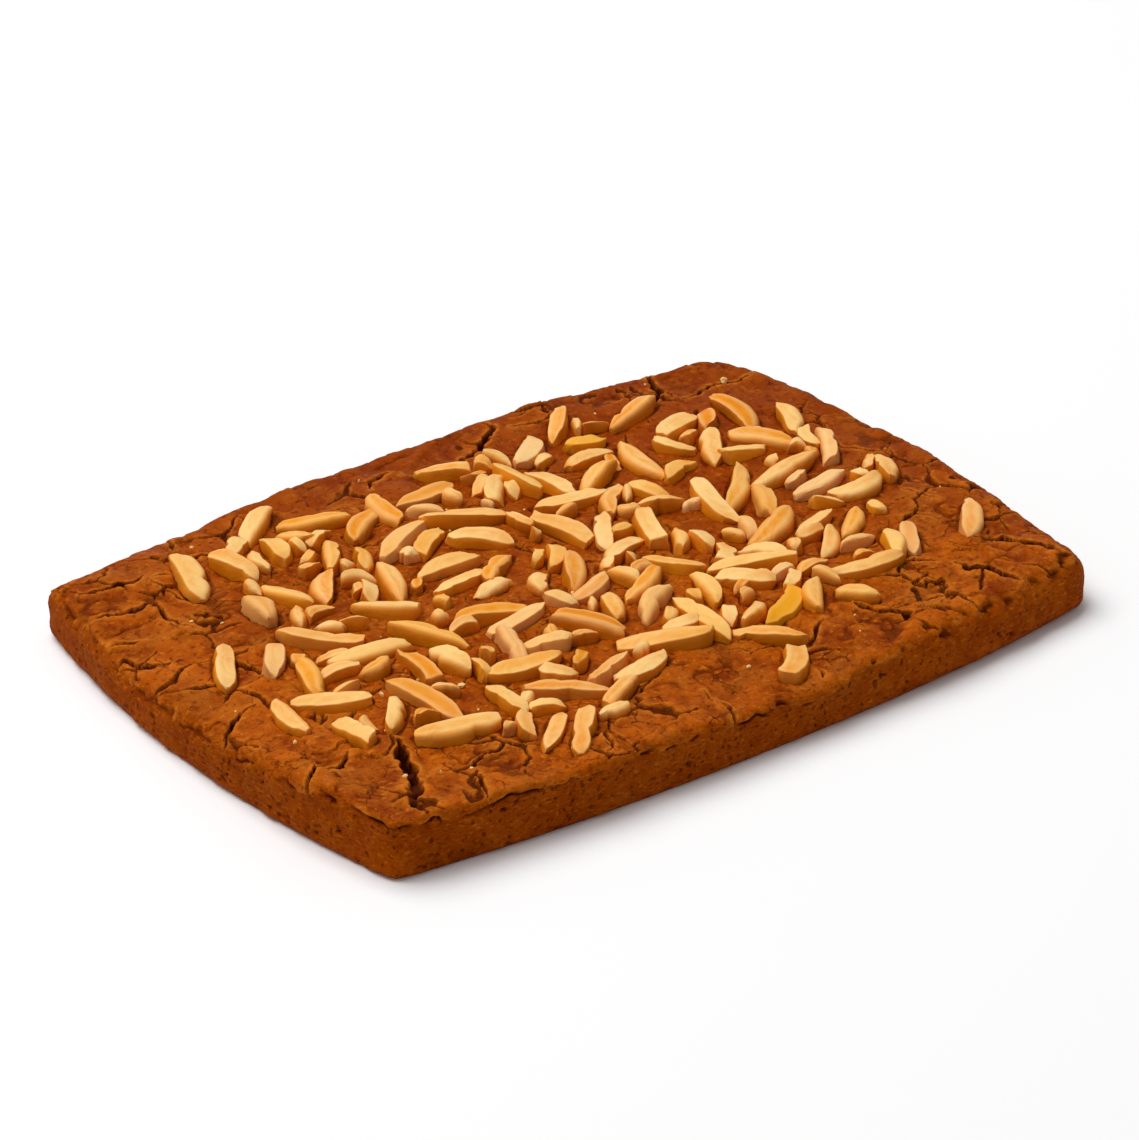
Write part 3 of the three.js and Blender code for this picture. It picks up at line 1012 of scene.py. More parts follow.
def new_piece(name: str, points: Floats, faces: Sequence[Sequence[int]]) -> bpy.types.Object:
    """Makes a piece and selects it alone.

    Args:
        name: Name of the piece.
        points: Its points in millimetres.
        faces: The points of each face.

    Returns:
        The piece.
    """
    mesh = bpy.data.meshes.new(name)
    mesh.from_pydata((points * MM).tolist(), [], faces)
    mesh.update()
    piece = bpy.data.objects.new(name, mesh)
    bpy.context.scene.collection.objects.link(piece)
    bpy.ops.object.select_all(action="DESELECT")
    piece.select_set(True)
    bpy.context.view_layer.objects.active = piece
    return piece


def wear(
    piece: bpy.types.Object, material: bpy.types.Material, stands_for: Sequence[str]
) -> None:
    """Dresses a finished piece and ties it to the frame.

    Args:
        piece: The piece, in place.
        material: Its finish.
        stands_for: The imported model's nodes that it replaces.
    """
    piece.data.materials.clear()
    piece.data.materials.append(material)
    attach(piece, BODY)
    if stands_for:
        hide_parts(*stands_for)
    log.info("%s: %d faces, %d points", piece.name, len(piece.data.polygons), len(piece.data.vertices))


def store(mesh: bpy.types.Mesh, name: str, values: Floats) -> None:
    """Keeps one number for each point of a mesh, for its material to read."""
    layer = mesh.attributes.new(name, "FLOAT", "POINT")
    layer.data.foreach_set("value", values.astype(np.float32))


def new_material(name: str) -> tuple[bpy.types.Material, bpy.types.NodeTree, bpy.types.Node]:
    """A material with a bare Principled shader.

    Args:
        name: What the real material is.

    Returns:
        The material, its node tree and the shader.
    """
    material = bpy.data.materials.new(name)
    material.use_nodes = True
    tree = material.node_tree
    return material, tree, tree.nodes["Principled BSDF"]


@dataclass(frozen=True)
class Speckle:
    """Noise in a finish: its size and detail, the levels it is stretched between, and its most."""

    size_mm: float
    detail: float
    low: float
    high: float
    most: float = 1.0
    is_layered: bool = False


@dataclass(frozen=True)
class CrustFinish:
    """Baked speculaas dough: brown sugar and spice, matt and mottled, with painted shade in its cracks.

    The eye sees a leathery skin, red-brown to dusty tan, with lighter flecks, painted highlight on its
    bumps and painted shade in its dents, hairline cracks and pinholes painted dark as shade, broken
    edges that are lighter than the skin, partly crumb and partly painted highlight, and cracks painted
    dark as shade. Flecks and specks lie in flat layers, as the dough was rolled.
    """

    dark: str = "#802B00"
    light: str = "#C66008"
    dusty: str = "#B8661A"
    fleck: str = "#D67A20"
    speck: str = "#621600"
    # Partly the lighter crumb of a broken edge and partly painted highlight where the light catches it.
    broken: str = "#DC7C24"
    wall: str = "#8C3A00"
    # Painted shade in the cracks, creases, pores and almond beds, and in the hairline cracks and pinholes.
    deep: str = "#3A0900"
    shine: str = "#FF9638"
    mottle: Speckle = Speckle(7.0, 5.0, 0.34, 0.66)
    dust: Speckle = Speckle(13.0, 4.0, 0.48, 0.66, 0.5)
    flecks: Speckle = Speckle(1.6, 4.0, 0.55, 0.7, 0.65, True)
    specks: Speckle = Speckle(1.5, 3.0, 0.53, 0.68, 0.65, True)
    crumbling: Speckle = Speckle(1.6, 3.0, 0.3, 0.6, 0.75)
    crackled: Speckle = Speckle(9.0, 3.0, 0.53, 0.64)
    grain: Speckle = Speckle(1.5, 5.0, 0.0, 1.0)
    speckle_roughness: float = 0.6
    squash: float = 2.2
    crackle_mm: float = 6.5
    crackle_wide_mm: float = 0.22
    stray_mm: float = 3.2
    stray_detail: float = 4.0
    pit_mm: float = 1.7
    pit_chosen: Span = (0.54, 0.6)
    pit_edge: Span = (0.32, 0.14)
    pit_share: float = 0.75
    sleek_power: float = 0.8
    mottle_share: float = 0.5
    wall_share: float = 0.6
    wall_lit: float = 0.6
    # Painted shade in the hairline cracks and pinholes, then how deep they dent the bump.
    hollow_shade_share: float = 0.65
    hollow_deep: float = 0.8
    top_grain: float = 0.7
    grain_deep_mm: float = 0.9
    roughness: float = 0.5
    wall_roughness: float = 0.85
    ior: float = 1.45
    gloss: float = 0.08

    def make(self) -> bpy.types.Material:
        """Makes the material."""
        material, tree, shader = new_material("baked speculaas crust")
        add = functools.partial(add_node, tree)
        coords = add("ShaderNodeTexCoord", {}, out="Object")
        layered = add("ShaderNodeMapping", {"Vector": coords, "Scale": (1.0, 1.0, self.squash)})
        cavity_shade, lip, wall, tone, rough = [
            add("ShaderNodeAttribute", {}, out="Fac", attribute_name=name)
            for name in ("cavity_shade", "lip", "wall", "tone", "rough")
        ]
        speckles = (
            self.mottle, self.dust, self.flecks, self.specks, self.crumbling, self.crackled, self.grain
        )
        shown = []
        for one in speckles:
            sockets = {
                "Vector": layered if one.is_layered else coords,
                "Scale": per_metre(one.size_mm),
                "Detail": one.detail,
                "Roughness": self.speckle_roughness,
            }
            noise = add("ShaderNodeTexNoise", sockets, out="Fac")
            levels = {"Value": noise, "From Min": one.low, "From Max": one.high, "To Max": one.most}
            shown.append(add("ShaderNodeMapRange", levels, clamp=True))
        mottle, dust, flecks, specks, crumbling, crackled, grain = shown

        # Hairline cracks on the top and pinholes in the walls, both on a torn lattice of cells; they dent
        # the bump and are painted with shade
        sockets = {"Vector": coords, "Scale": per_metre(self.stray_mm), "Detail": self.stray_detail}
        stray = add("ShaderNodeTexNoise", sockets, out="Color")
        stray = add("ShaderNodeVectorMath", {0: stray, 1: (0.5, 0.5, 0.5)}, operation="SUBTRACT")
        sockets = {0: stray, 1: (self.stray_mm * MM,) * 3, 2: coords}
        torn = add("ShaderNodeVectorMath", sockets, operation="MULTIPLY_ADD")
        sockets = {"Vector": torn, "Scale": per_metre(self.crackle_mm)}
        border = add("ShaderNodeTexVoronoi", sockets, out="Distance", feature="DISTANCE_TO_EDGE")
        level = add("ShaderNodeMath", {0: 1.0, 1: wall}, operation="SUBTRACT")
        sockets = {"Value": border, "From Min": self.crackle_wide_mm / self.crackle_mm, "From Max": 0.0}
        crackle = add("ShaderNodeMapRange", sockets, clamp=True)
        pits = add("ShaderNodeTexVoronoi", {"Vector": torn, "Scale": per_metre(self.pit_mm)}, out="Color")
        sockets = {"Value": pits, "From Min": self.pit_chosen[0], "From Max": self.pit_chosen[1]}
        chosen = add("ShaderNodeMapRange", sockets, clamp=True)
        sockets = {"Value": pits.node.outputs["Distance"], "To Max": self.pit_share}
        sockets |= {"From Min": self.pit_edge[0], "From Max": self.pit_edge[1]}
        pit = add("ShaderNodeMapRange", sockets, clamp=True)
        for mask in (crackled, level):
            crackle = add("ShaderNodeMath", {0: crackle, 1: mask}, operation="MULTIPLY")
        for mask in (chosen, wall):
            pit = add("ShaderNodeMath", {0: pit, 1: mask}, operation="MULTIPLY")
        hollow = add("ShaderNodeMath", {0: crackle, 1: pit}, operation="MAXIMUM")

        # Colours, each laid over the ones before it
        light = add("ShaderNodeMix", {0: self.mottle_share, 2: mottle, 3: tone})
        # Only grainy skin takes the light and dusty colours, so the sleek skin towards the back stays darker
        # and redder.
        grainy = add("ShaderNodeMath", {0: rough, 1: self.sleek_power}, operation="POWER")
        sockets = {0: level, 1: 1 - self.wall_lit, 2: self.wall_lit}
        lit = add("ShaderNodeMath", sockets, operation="MULTIPLY_ADD")
        lit = add("ShaderNodeMath", {0: lit, 1: grainy}, operation="MULTIPLY")
        layers = (
            # Half mottle, half painted highlight on the bumps and painted shade in the dents.
            (self.light, light, grainy),
            (self.dusty, dust, grainy),
            (self.wall, wall, self.wall_share),
            (self.fleck, flecks, lit),
            (self.speck, specks, 1.0),
            # Broken edges: partly lighter crumb, partly painted highlight.
            (self.broken, lip, crumbling),
            # Painted shade in the hairline cracks and pinholes, then in the cracks, pores and beds.
            (self.deep, hollow, self.hollow_shade_share),
            (self.deep, cavity_shade, 1.0),
        )
        colour = linear(self.dark)
        for over, share, mask in layers:
            share = add("ShaderNodeMath", {0: share, 1: mask}, operation="MULTIPLY")
            colour = add("ShaderNodeMix", {0: share, 6: colour, 7: linear(over)}, out=2, data_type="RGBA")

        height = add("ShaderNodeMath", {0: hollow, 1: -self.hollow_deep, 2: grain}, operation="MULTIPLY_ADD")
        sockets = {0: wall, 1: 1 - self.top_grain, 2: self.top_grain}
        strength = add("ShaderNodeMath", sockets, operation="MULTIPLY_ADD")
        strength = add("ShaderNodeMath", {0: strength, 1: rough}, operation="MULTIPLY")
        sockets = {"Height": height, "Strength": strength, "Distance": self.grain_deep_mm * MM}
        normal = add("ShaderNodeBump", sockets)
        sockets = {0: wall, 1: self.wall_roughness - self.roughness, 2: self.roughness}
        matt = add("ShaderNodeMath", sockets, operation="MULTIPLY_ADD")
        plug(shader, {"Base Color": colour, "Normal": normal, "Roughness": matt, "IOR": self.ior})
        plug(shader, {"Specular IOR Level": self.gloss, "Specular Tint": linear(self.shine)})
        return material


@dataclass(frozen=True)
class AlmondFinish:
    """Blanched almond, cut into slivers and toasted: waxy, cream where cut, orange where browned, with
    painted shade.

    The eye sees soft pale faces with a little light coming through, darker orange sides and tips that
    are partly toasted and partly painted shade with the crust's warm bounce, a painted highlight along
    the top edges and cut ends, and faint fibres along each sliver.
    """

    cream: str = "#FFD084"
    # Toasted brown, also the painted shade with the crust's warm bounce on the sides, tips and foot.
    toast_and_shade: str = "#F09018"
    # Laid where toast and painted shade pass full, mostly on the sides.
    crisp: str = "#CC7006"
    # Painted highlight along the top edges and cut ends.
    edge: str = "#FFD892"
    blush: str = "#F6C890"
    yellow: str = "#F8AE1E"
    edge_highlight_share: float = 0.4
    uneven: float = 0.8
    fibre_mm: float = 0.8
    fibre_stretch: float = 0.12
    fibre_strength: float = 0.35
    fibre_deep_mm: float = 0.2
    mottle_mm: float = 3.0
    noise_detail: float = 3.0
    roughness: float = 0.36
    ior: float = 1.46
    gloss: float = 0.1
    glow: float = 0.05
    glow_mm: tuple[float, ...] = (2.0, 0.8, 0.25)

    def make(self) -> bpy.types.Material:
        """Makes the material."""
        material, tree, shader = new_material("toasted blanched almond")
        add = functools.partial(add_node, tree)
        coords = add("ShaderNodeTexCoord", {}, out="Object")
        toast_and_shade, edge, skin, yellow = [
            add("ShaderNodeAttribute", {}, out="Fac", attribute_name=name)
            for name in ("toast_and_shade", "edge", "skin", "yellow")
        ]
        sockets = {"Vector": coords.node.outputs["UV"], "Scale": (self.fibre_stretch, 1.0, 1.0)}
        along = add("ShaderNodeMapping", sockets)
        sockets = {"Vector": along, "Scale": 1 / self.fibre_mm, "Detail": self.noise_detail}
        fibre = add("ShaderNodeTexNoise", sockets, out="Fac")
        sockets = {"Vector": coords, "Scale": per_metre(self.mottle_mm), "Detail": self.noise_detail}
        mottle = add("ShaderNodeTexNoise", sockets, out="Fac")
        uneven = add("ShaderNodeMath", {0: mottle, 1: fibre}, operation="ADD")
        sockets = {0: uneven, 1: self.uneven, 2: -self.uneven}
        uneven = add("ShaderNodeMath", sockets, operation="MULTIPLY_ADD")
        # Toasting, with painted shade on the sides, tips and foot.
        browned_and_shaded = add("ShaderNodeMath", {0: toast_and_shade, 1: uneven}, operation="ADD")
        past = add("ShaderNodeMath", {0: browned_and_shaded, 1: 1.0}, operation="SUBTRACT")
        # Painted highlight along the top edges and cut ends.
        pale = add("ShaderNodeMath", {0: edge, 1: self.edge_highlight_share}, operation="MULTIPLY")
        layers = (
            (self.toast_and_shade, browned_and_shaded),
            (self.crisp, past),
            (self.edge, pale),
            (self.blush, skin),
            (self.yellow, yellow),
        )
        colour = linear(self.cream)
        for over, share in layers:
            colour = add("ShaderNodeMix", {0: share, 6: colour, 7: linear(over)}, out=2, data_type="RGBA")
        sockets = {"Height": fibre, "Strength": self.fibre_strength, "Distance": self.fibre_deep_mm * MM}
        normal = add("ShaderNodeBump", sockets)
        plug(shader, {"Base Color": colour, "Normal": normal, "Roughness": self.roughness, "IOR": self.ior})
        plug(shader, {"Specular IOR Level": self.gloss, "Subsurface Weight": self.glow})
        radius = tuple(far * MM for far in self.glow_mm)
        plug(shader, {"Subsurface Radius": radius, "Subsurface Scale": 1.0})
        return material


@dataclass(frozen=True)
class FloorFinish:
    """White card: bright, matt and without a mark."""

    colour: str = "#FFFFFF"
    roughness: float = 0.9

    def make(self) -> bpy.types.Material:
        """Makes the material."""
        material, _, shader = new_material("matt white card")
        plug(shader, {"Base Color": linear(self.colour), "Roughness": self.roughness})
        plug(shader, {"Specular IOR Level": 0.0})
        return material


@dataclass(frozen=True)
class Biscuit:
    """The slab with its broken crust, one closed mesh."""

    form: SlabForm
    crust: BakedCrust
    strewing: Strewing
    almonds: Sequence[Sliver]
    finish: CrustFinish
    cells_long: int = 88
    cells_wide: int = 62
    wall_rows: int = 6
    levels: int = 3
    triangles: int = 192000
    field_fade: float = 14.0
    foot_calm: float = 1.2
    soften: float = 0.3

    def block(self) -> bpy.types.Object:
        """Models the blank: a fine box whose points carry their places on the slab.

        Returns:
            A box from -1 to 1 in x and y, with one unit of depth for each row of its walls.
        """
        bpy.ops.object.select_all(action="DESELECT")
        sheet = {"x_subdivisions": self.cells_long, "y_subdivisions": self.cells_wide, "size": 2}
        bpy.ops.mesh.primitive_grid_add(**sheet)
        blank = bpy.context.active_object
        bpy.ops.object.mode_set(mode="EDIT")
        bpy.ops.mesh.select_mode(type="EDGE")
        bpy.ops.mesh.select_all(action="DESELECT")
        bpy.ops.mesh.select_non_manifold()
        for _ in range(self.wall_rows):
            bpy.ops.mesh.extrude_edges_move(TRANSFORM_OT_translate={"value": (0, 0, -1)})
        bpy.ops.mesh.primitive_grid_add(**sheet, location=(0, 0, -self.wall_rows))
        bpy.ops.mesh.select_all(action="SELECT")
        bpy.ops.mesh.remove_doubles(threshold=0.001)
        bpy.ops.mesh.normals_make_consistent(inside=False)
        bpy.ops.object.mode_set(mode="OBJECT")
        finer = blank.modifiers.new("finer", "SUBSURF")
        finer.subdivision_type = "SIMPLE"
        finer.levels = self.levels
        finer.render_levels = self.levels
        bpy.ops.object.modifier_apply(modifier=finer.name)
        return blank

    def build(self) -> bpy.types.Object:
        """Makes the slab and breaks its crust."""
        piece = self.block()
        piece.name = "biscuit_slab"
        mesh = piece.data
        mesh.name = piece.name
        places = np.zeros(len(mesh.vertices) * 3)
        mesh.vertices.foreach_get("co", places)
        u, v, row = places.reshape(-1, 3).T
        shell = self.form.shell(u, v, -row / self.wall_rows)
        mesh.vertices.foreach_set("co", (shell.points * MM).ravel())
        mesh.update()
        outward = np.zeros(len(mesh.vertices) * 3, np.float32)
        mesh.vertex_normals.foreach_get("vector", outward)
        outward = outward.reshape(-1, 3).astype(float)
        live = np.flatnonzero(shell.points[:, 2] > 0)
        skin = Shell(shell.points[live], shell.wall[live], shell.down[live])
        field = self.strewing.field(skin.points[:, 0], skin.points[:, 1], self.field_fade)
        relief = self.crust.relief(skin, field, self.crust.beds(skin.points, self.almonds))
        lifted = ease(0.0, self.foot_calm, skin.points[:, 2])
        points = shell.points.copy()
        points[live] += outward[live] * (relief.height * lifted)[:, None]
        points[:, 2] = np.maximum(points[:, 2], 0)
        mesh.vertices.foreach_set("co", (points * MM).ravel())
        kept = {
            "cavity_shade": relief.cavity_shade * lifted,
            "lip": relief.lip,
            "wall": skin.wall,
            "tone": relief.tone,
            "rough": relief.rough,
        }
        for name, values in kept.items():
            everywhere = np.zeros(len(points))
            everywhere[live] = values
            store(mesh, name, everywhere)
        mesh.update()
        soft = piece.modifiers.new("soft", "SMOOTH")
        soft.factor = self.soften
        soft.iterations = 1
        bpy.ops.object.modifier_apply(modifier=soft.name)
        thin = piece.modifiers.new("thin", "DECIMATE")
        thin.ratio = self.triangles / (2 * len(mesh.polygons))
        bpy.ops.object.modifier_apply(modifier=thin.name)
        bpy.ops.object.shade_smooth()
        wear(piece, self.finish.make(), [NODE])
        return piece


@dataclass(frozen=True)
class Almonds:
    """The slivers and chips of almond on the crust, joined to one mesh for each kind.

    Lengths are in millimetres and turns in degrees. Spans of two numbers are drawn from, sliver by sliver.
    """

    form: SlabForm
    slivers: Sequence[Sliver]
    chips: Sequence[Sliver]
    finish: AlmondFinish
    sunk: float = 1.3
    widen: float = 1.02
    top: float = 0.82
    base_round: float = 0.2
    cut_round: float = 0.3
    skin_round: float = 1.3
    cut_share: float = 0.6
    cut_fullness: Span = (3.0, 6.0)
    skin_fullness: Span = (1.9, 2.8)
    end_share: Span = (0.35, 1.3)
    end_limits: Span = (0.12, 0.92)
    end_drop: float = 0.4
    cap_limits: Span = (0.4, 1.0)
    chip_deep: float = 0.5
    chip_long: float = 0.14
    chip_at: Span = (-0.9, 0.9)
    slope: Span = (-0.3, 0.3)
    skew: Span = (-0.6, 0.6)
    skew_power: int = 6
    bend: Span = (-0.3, 0.3)
    bend_from: float = 0.35
    strong_bend: float = 1.8
    strong_above: float = 0.88
    roll: Span = (-8.0, 8.0)
    twist: Span = (-9.0, 9.0)
    arch: Span = (-0.3, 0.3)
    stations: int = 13

    brown_least: float = 0.05
    brown_drawn: float = 0.65
    brown_power: float = 1.2
    brown_toasted: float = 0.6
    # Browning of the sides, partly toast and partly painted shade, then painted shade at the foot.
    flank_toast_and_shade: float = 1.1
    foot_shade: float = 0.35
    brown_along: Span = (-0.3, 0.3)
    brown_across: Span = (-0.25, 0.25)
    toasted_share: float = 0.18
    foot_from: Span = (0.3, 0.7)
    end_flank: float = 0.7
    # Painted highlight on the cut ends.
    end_highlight: float = 0.6
    flank_edge: float = 0.8
    nick_deep: float = 0.09
    nick_ends: float = 2.5
    nick_sizes: Span = (2.4, 1.1)
    nick_seed: int = 91

    skin_share: float = 0.12
    skin_most: float = 0.45
    yellow_most: float = 0.3
    golden: float = 0.7
    golden_spots: tuple[Span, ...] = ((41.6, 44.0), (27.6, -45.0))
    smooth_under: float = 40.0
    seed: int = 733

    def ease_edges(self, corners: Floats, rounds: Sequence[float]) -> Floats:
        """Rounds off the corners of every section.

        Args:
            corners: The corners, section by section.
            rounds: How far from each corner its rounding starts.

        Returns:
            For each corner four points round it and two on the face after it, section by section.
        """
        starts = []
        for way in (1, -1):
            toward = np.roll(corners, way, axis=1) - corners
            length = np.linalg.norm(toward, axis=2)
            share = np.minimum(np.array(rounds) / np.maximum(length, 0.01), 0.45)
            starts.append(toward * share[:, :, None])
        back, ahead = starts
        ring = [corners + (1 - turn) ** 2 * back + turn**2 * ahead for turn in (0, 1 / 3, 2 / 3, 1)]
        following = np.roll(ring[0], -1, axis=1)
        ring += [mix(ring[3], following, share) for share in (1 / 3, 2 / 3)]
        return np.stack(ring, axis=2).reshape(len(corners), -1, 2)

    def sections(self, sliver: Sliver, stream: Stream) -> tuple[Floats, Floats]:
        """Cuts one sliver: a stick whose two sides are each a cut or the kernel's own skin.

        Args:
            sliver: Its form.
            stream: Draws what is its own: ends, sides, slope and skew.

        Returns:
            Its sections from end to end, points across and up; and how far along the sliver each lies.
        """
        along = np.linspace(-1, 1, self.stations)
        ends = [np.clip(sliver.blunt * stream.between(self.end_share), *self.end_limits) for _ in range(2)]
        end = np.where(along < 0, *ends)
        sides, rounds = [], []
        for _ in range(2):
            is_cut = stream.draw() < self.cut_share
            fullness = stream.between(self.cut_fullness if is_cut else self.skin_fullness)
            chip = self.chip_deep * stream.draw() ** 3
            chipped = 1 - chip * np.exp(-(((along - stream.between(self.chip_at)) / self.chip_long) ** 2))
            widest = self.widen * sliver.wide / 2
            sides.append(widest * chipped * (1 - (1 - end) * np.abs(along) ** fullness))
            rounds.append(self.cut_round if is_cut else self.skin_round)
        left, right = sides
        slope = stream.between(self.slope)
        tall = sliver.high * (1 - self.end_drop * (1 - end) * np.abs(along) ** 3) * (1 + slope * along)
        ground = np.zeros_like(along)
        corners = [
            (-left, ground),
            (right, ground),
            (self.top * right, tall * (1 + sliver.slant)),
            (-self.top * left, tall * (1 - sliver.slant)),
        ]
        section = self.ease_edges(
            np.stack([np.stack(corner, axis=1) for corner in corners], axis=1),
            (self.base_round, self.base_round, rounds[1], rounds[0]),
        )
        reach = np.repeat((along * (sliver.long / 2 - self.cut_round))[:, None], section.shape[1], axis=1)
        skews = stream.between(self.skew), stream.between(self.skew)
        skew = np.where(along < 0, *skews) * along**self.skew_power
        reach = reach + skew[:, None] * section[:, :, 0]
        shrink = np.clip(1 - 2 * self.cut_round / (left + right), *self.cap_limits)
        for place, way in ((0, -1), (-1, 1)):
            middle = section[place].mean(axis=0)
            cap = middle + (section[place] - middle) * shrink[place]
            outer = reach[place] + way * self.cut_round
            at = 0 if place == 0 else len(section)
            section = np.insert(section, at, cap, axis=0)
            reach = np.insert(reach, at, outer, axis=0)
        return section, reach

    def lay(self, sliver: Sliver, section: Floats, reach: Floats, stream: Stream) -> Floats:
        """Bends, rolls and lays one sliver on the crust.

        Args:
            sliver: Its place and form.
            section: Its sections.
            reach: How far along the sliver each of their points lies.
            stream: Draws its bend, roll and arch.

        Returns:
            Points in millimetres, ring by ring.
        """
        half = sliver.long / 2
        bend = stream.between(self.bend) * (self.strong_bend if stream.draw() > self.strong_above else 1.0)
        drift = bend * sliver.wide * ((reach / half) ** 2 - self.bend_from)
        roll = math.radians(stream.between(self.roll))
        roll = roll + math.radians(stream.between(self.twist)) * reach / half
        side = section[:, :, 0] * np.cos(roll) - section[:, :, 1] * np.sin(roll) + drift
        up = section[:, :, 1] * np.cos(roll) + section[:, :, 0] * np.sin(roll)
        up = up + stream.between(self.arch) * (1 - (reach / half) ** 2)
        x = sliver.x + reach * math.cos(sliver.turn) - side * math.sin(sliver.turn)
        y = sliver.y + reach * math.sin(sliver.turn) + side * math.cos(sliver.turn)
        points = np.stack([x, y, self.form.top(x, y) - self.sunk + up], axis=2).reshape(-1, 3)
        nicks = self.nick_deep * (1 + self.nick_ends * np.abs(reach / half) ** 4).reshape(-1, 1)
        for size in self.nick_sizes:
            moved = [lumps(points, size, self.nick_seed + axis) for axis in range(3)]
            points = points + nicks * np.stack(moved, axis=1)
        return points

    def bake(
        self, sliver: Sliver, section: Floats, reach: Floats, stream: Stream
    ) -> tuple[Floats, Floats]:
        """Toasts one sliver and paints shade on it, most of all on its sides and foot, and paints a
        highlight on its top edges.

        Args:
            sliver: Its form.
            section: Its sections, with six points for each corner: two at the foot, then two on top.
            reach: How far along the sliver each of their points lies.
            stream: Draws how brown it is.

        Returns:
            How brown each point is with its painted shade, 0 to 1 and past that where it is crisp, and how
            near to an edge, 0 to 1, for its painted highlight.
        """
        # The sides and tips are partly toasted and partly painted shade with the crust's warm bounce.
        over_edge = np.array((1, 2 / 3, 1 / 3, 0, 0, 0))
        shaded_flank = np.tile(np.concatenate([np.ones(12), over_edge, 1 - over_edge]), (len(section), 1))
        shaded_flank[[0, -1]] = np.maximum(shaded_flank[[0, -1]], self.end_flank)
        up = section[:, :, 1]
        # Painted shade at the foot, where the sliver sits in the crust.
        foot = 1 - ease(*self.foot_from, up / up.max(axis=1, keepdims=True))
        toasted = self.brown_toasted if stream.draw() < self.toasted_share else 0
        own = self.brown_least + self.brown_drawn * stream.draw() ** self.brown_power + toasted
        brown = own + self.flank_toast_and_shade * shaded_flank + self.foot_shade * foot
        brown = brown + stream.between(self.brown_along) * reach / (sliver.long / 2)
        brown = brown + stream.between(self.brown_across) * section[:, :, 0] / (sliver.wide / 2)
        # Painted highlight along the top edges and on the cut ends, less on the shaded sides.
        edge = np.tile((0,) * 12 + (1, 1, 1, 1, 0, 0) * 2, (len(section), 1)).astype(float)
        edge[[0, 1, -2, -1]] = self.end_highlight
        return brown.reshape(-1), (edge * (1 - self.flank_edge * shaded_flank)).reshape(-1)

    def join(
        self, name: str, slivers: Sequence[Sliver], golden: Sequence[Sliver], seed: int
    ) -> bpy.types.Object:
        """Makes one kind of almond as one mesh.

        Args:
            name: Name of the piece.
            slivers: Where its almonds lie.
            golden: The ones among them that are yellow.
            seed: For the draws of their forms and colours.

        Returns:
            The piece.
        """
        stream = Stream(seed)
        points, lies, faces = [], [], []
        kept = {"toast_and_shade": [], "edge": [], "skin": [], "yellow": []}
        count = 0
        for sliver in slivers:
            section, reach = self.sections(sliver, stream)
            points.append(self.lay(sliver, section, reach, stream))
            around = np.linalg.norm(np.diff(section, axis=1, append=section[:, :1]), axis=2)
            lies.append(np.stack([reach, np.cumsum(around, axis=1)], axis=2).reshape(-1, 2))
            brown, edge = self.bake(sliver, section, reach, stream)
            ring = np.arange(reach.size).reshape(reach.shape) + count
            ahead = np.roll(ring, -1, axis=1)
            quads = np.stack([ring[:-1], ahead[:-1], ahead[1:], ring[1:]], axis=2).reshape(-1, 4)
            faces += quads[:, ::-1].tolist() + [ring[0].tolist(), ring[-1][::-1].tolist()]
            yellow = self.golden if sliver in golden else self.yellow_most * stream.draw() ** 2
            skin = self.skin_most * stream.draw() if stream.draw() < self.skin_share else 0.0
            for layer, values in zip(kept, (brown, edge, skin, yellow)):
                kept[layer].append(np.broadcast_to(values, reach.size))
            count += reach.size
        piece = new_piece(name, np.concatenate(points), faces)
        mesh = piece.data
        for layer, values in kept.items():
            store(mesh, layer, np.concatenate(values))
        corner_points = np.zeros(len(mesh.loops), np.int32)
        mesh.loops.foreach_get("vertex_index", corner_points)
        grain = mesh.uv_layers.new(name="grain")
        grain.data.foreach_set("uv", np.concatenate(lies)[corner_points].astype(np.float32).ravel())
        mesh.update()
        bpy.ops.object.shade_smooth_by_angle(angle=math.radians(self.smooth_under))
        return piece

    def build(self) -> None:
        """Makes the slivers and the chips between them."""
        finish = self.finish.make()
        golden = [
            min(self.slivers, key=lambda one: math.dist((one.x, one.y), spot)) for spot in self.golden_spots
        ]
        wear(self.join("almond_slivers", self.slivers, golden, self.seed), finish, [NODE])
        wear(self.join("almond_chips", self.chips, [], self.seed + 1), finish, [])


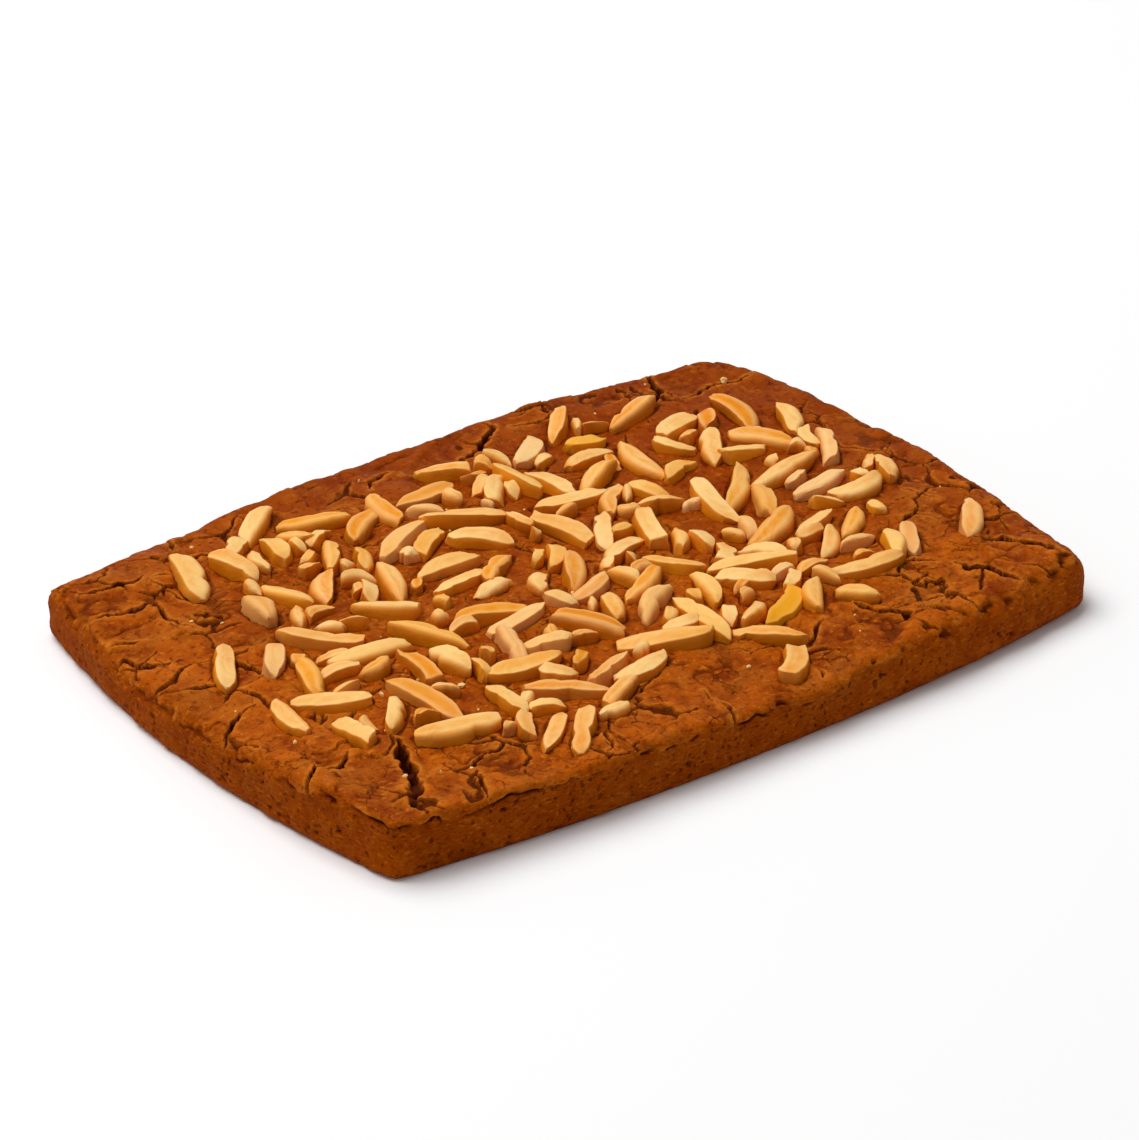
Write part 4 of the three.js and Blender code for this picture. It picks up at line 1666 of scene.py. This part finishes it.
@dataclass(frozen=True)
class Crumbs:
    """Crumbs of almond on the crust, joined to one mesh, in millimetres."""

    form: SlabForm
    crust: BakedCrust
    strewing: Strewing
    finish: AlmondFinish
    count: int = 70
    over: Span = (98.0, 66.0)
    size: Span = (0.25, 0.9)
    squash: Span = (0.45, 1.3)
    field_fade: float = 1.0
    uneven: Lumps = Lumps(0.35, 1.7, 95)
    uneven_apart: float = 3.0
    sits: float = 0.3
    seed: int = 515

    def build(self) -> bpy.types.Object:
        """Models one crumb, copies it and lays the copies on the crust."""
        bpy.ops.object.select_all(action="DESELECT")
        bpy.ops.mesh.primitive_ico_sphere_add(subdivisions=2, radius=1)
        pattern = bpy.context.active_object
        ball = np.zeros(len(pattern.data.vertices) * 3)
        pattern.data.vertices.foreach_get("co", ball)
        ball = ball.reshape(-1, 3)
        faces = np.array([list(face.vertices) for face in pattern.data.polygons])
        bpy.data.objects.remove(pattern)
        stream = Stream(self.seed)
        spots = np.array([[mix(-far, far, stream.draw()) for far in self.over] for _ in range(self.count)])
        x, y = spots.T
        level = np.zeros(self.count)
        shell = Shell(np.stack([x, y, self.form.top(x, y)], axis=1), level, level)
        relief = self.crust.relief(shell, self.strewing.field(x, y, self.field_fade), level)
        crumbs = []
        for spot, height in zip(shell.points, relief.height):
            radius = mix(*self.size, stream.draw() ** 3)
            crumb = ball * radius * np.array([stream.between(self.squash) for _ in range(3)])
            crumb = crumb * (1 + self.uneven.at(ball * self.uneven_apart + spot))[:, None]
            crumbs.append(crumb + spot + np.array([0, 0, height + self.sits * radius]))
        joined = np.concatenate([faces + number * len(ball) for number in range(self.count)])
        piece = new_piece("almond_crumbs", np.concatenate(crumbs), joined.tolist())
        wear(piece, self.finish.make(), [])
        return piece


@dataclass(frozen=True)
class Studio:
    """A white floor, soft light from above, and a camera at the photograph's angle.

    The image is 1139 by 1140 pixels, and the camera's focal length is given in those pixels.
    """

    floor_finish: FloorFinish
    azimuth: float = -37.38
    pitch: float = 28.56
    focal_pixels: float = 5066.0
    image_pixels: float = 1140.0
    sensor_mm: float = 36.0
    distance: float = 1.191
    aim: tuple[float, float, float] = (0.0152, 0.0189, 0.0)
    clip_start: float = 0.05
    floor_size: float = 8.0
    sky_colour: str = "#FFFFFF"
    sky: float = 0.33
    softbox_size: float = 1.8
    softbox_at: tuple[float, float, float] = (-0.4, 0.75, 2.0)
    softbox_watts: float = 43.0

    def place_camera(self) -> None:
        """Puts the camera at the photograph's angle."""
        lens = bpy.data.cameras.new("camera")
        lens.sensor_width = self.sensor_mm
        lens.lens = self.sensor_mm * self.focal_pixels / self.image_pixels
        lens.clip_start = self.clip_start
        camera = bpy.data.objects.new("camera", lens)
        bpy.context.scene.collection.objects.link(camera)
        turn = math.radians(self.azimuth)
        rise = math.radians(self.pitch)
        back = Vector((math.sin(turn) * math.cos(rise), -math.cos(turn) * math.cos(rise), math.sin(rise)))
        camera.location = Vector(self.aim) + back * self.distance
        camera.rotation_euler = (math.pi / 2 - rise, 0.0, turn)
        bpy.context.scene.camera = camera

    def lay_floor(self) -> None:
        """Lays the white floor."""
        bpy.ops.object.select_all(action="DESELECT")
        bpy.ops.mesh.primitive_plane_add(size=self.floor_size)
        floor = bpy.context.active_object
        floor.name = "floor"
        floor.data.materials.append(self.floor_finish.make())

    def light(self) -> None:
        """Lights the scene from a white room and one large softbox."""
        world = bpy.data.worlds.new("white room")
        world.use_nodes = True
        room = world.node_tree.nodes["Background"]
        room.inputs["Color"].default_value = linear(self.sky_colour)
        room.inputs["Strength"].default_value = self.sky
        bpy.context.scene.world = world
        box = bpy.data.lights.new("softbox", "AREA")
        box.shape = "SQUARE"
        box.size = self.softbox_size
        box.energy = self.softbox_watts
        lamp = bpy.data.objects.new("softbox", box)
        lamp.location = self.softbox_at
        lamp.rotation_euler = (-Vector(lamp.location)).to_track_quat("-Z", "Y").to_euler()
        bpy.context.scene.collection.objects.link(lamp)
        bpy.context.scene.view_settings.view_transform = "Standard"


def main() -> None:
    """Builds the biscuit, its almonds and the studio."""
    logging.basicConfig(level=logging.INFO, format="%(name)s: %(message)s")
    form = SlabForm()
    strewing = Strewing()
    studio = Studio(FloorFinish())
    studio.place_camera()
    crust = BakedCrust(form)
    slivers, chips = strewing.strew_all()
    Biscuit(form, crust, strewing, [*slivers, *chips], CrustFinish()).build()
    Almonds(form, slivers, chips, AlmondFinish()).build()
    Crumbs(form, crust, strewing, AlmondFinish()).build()
    studio.lay_floor()
    studio.light()


if __name__ == "__main__":
    main()
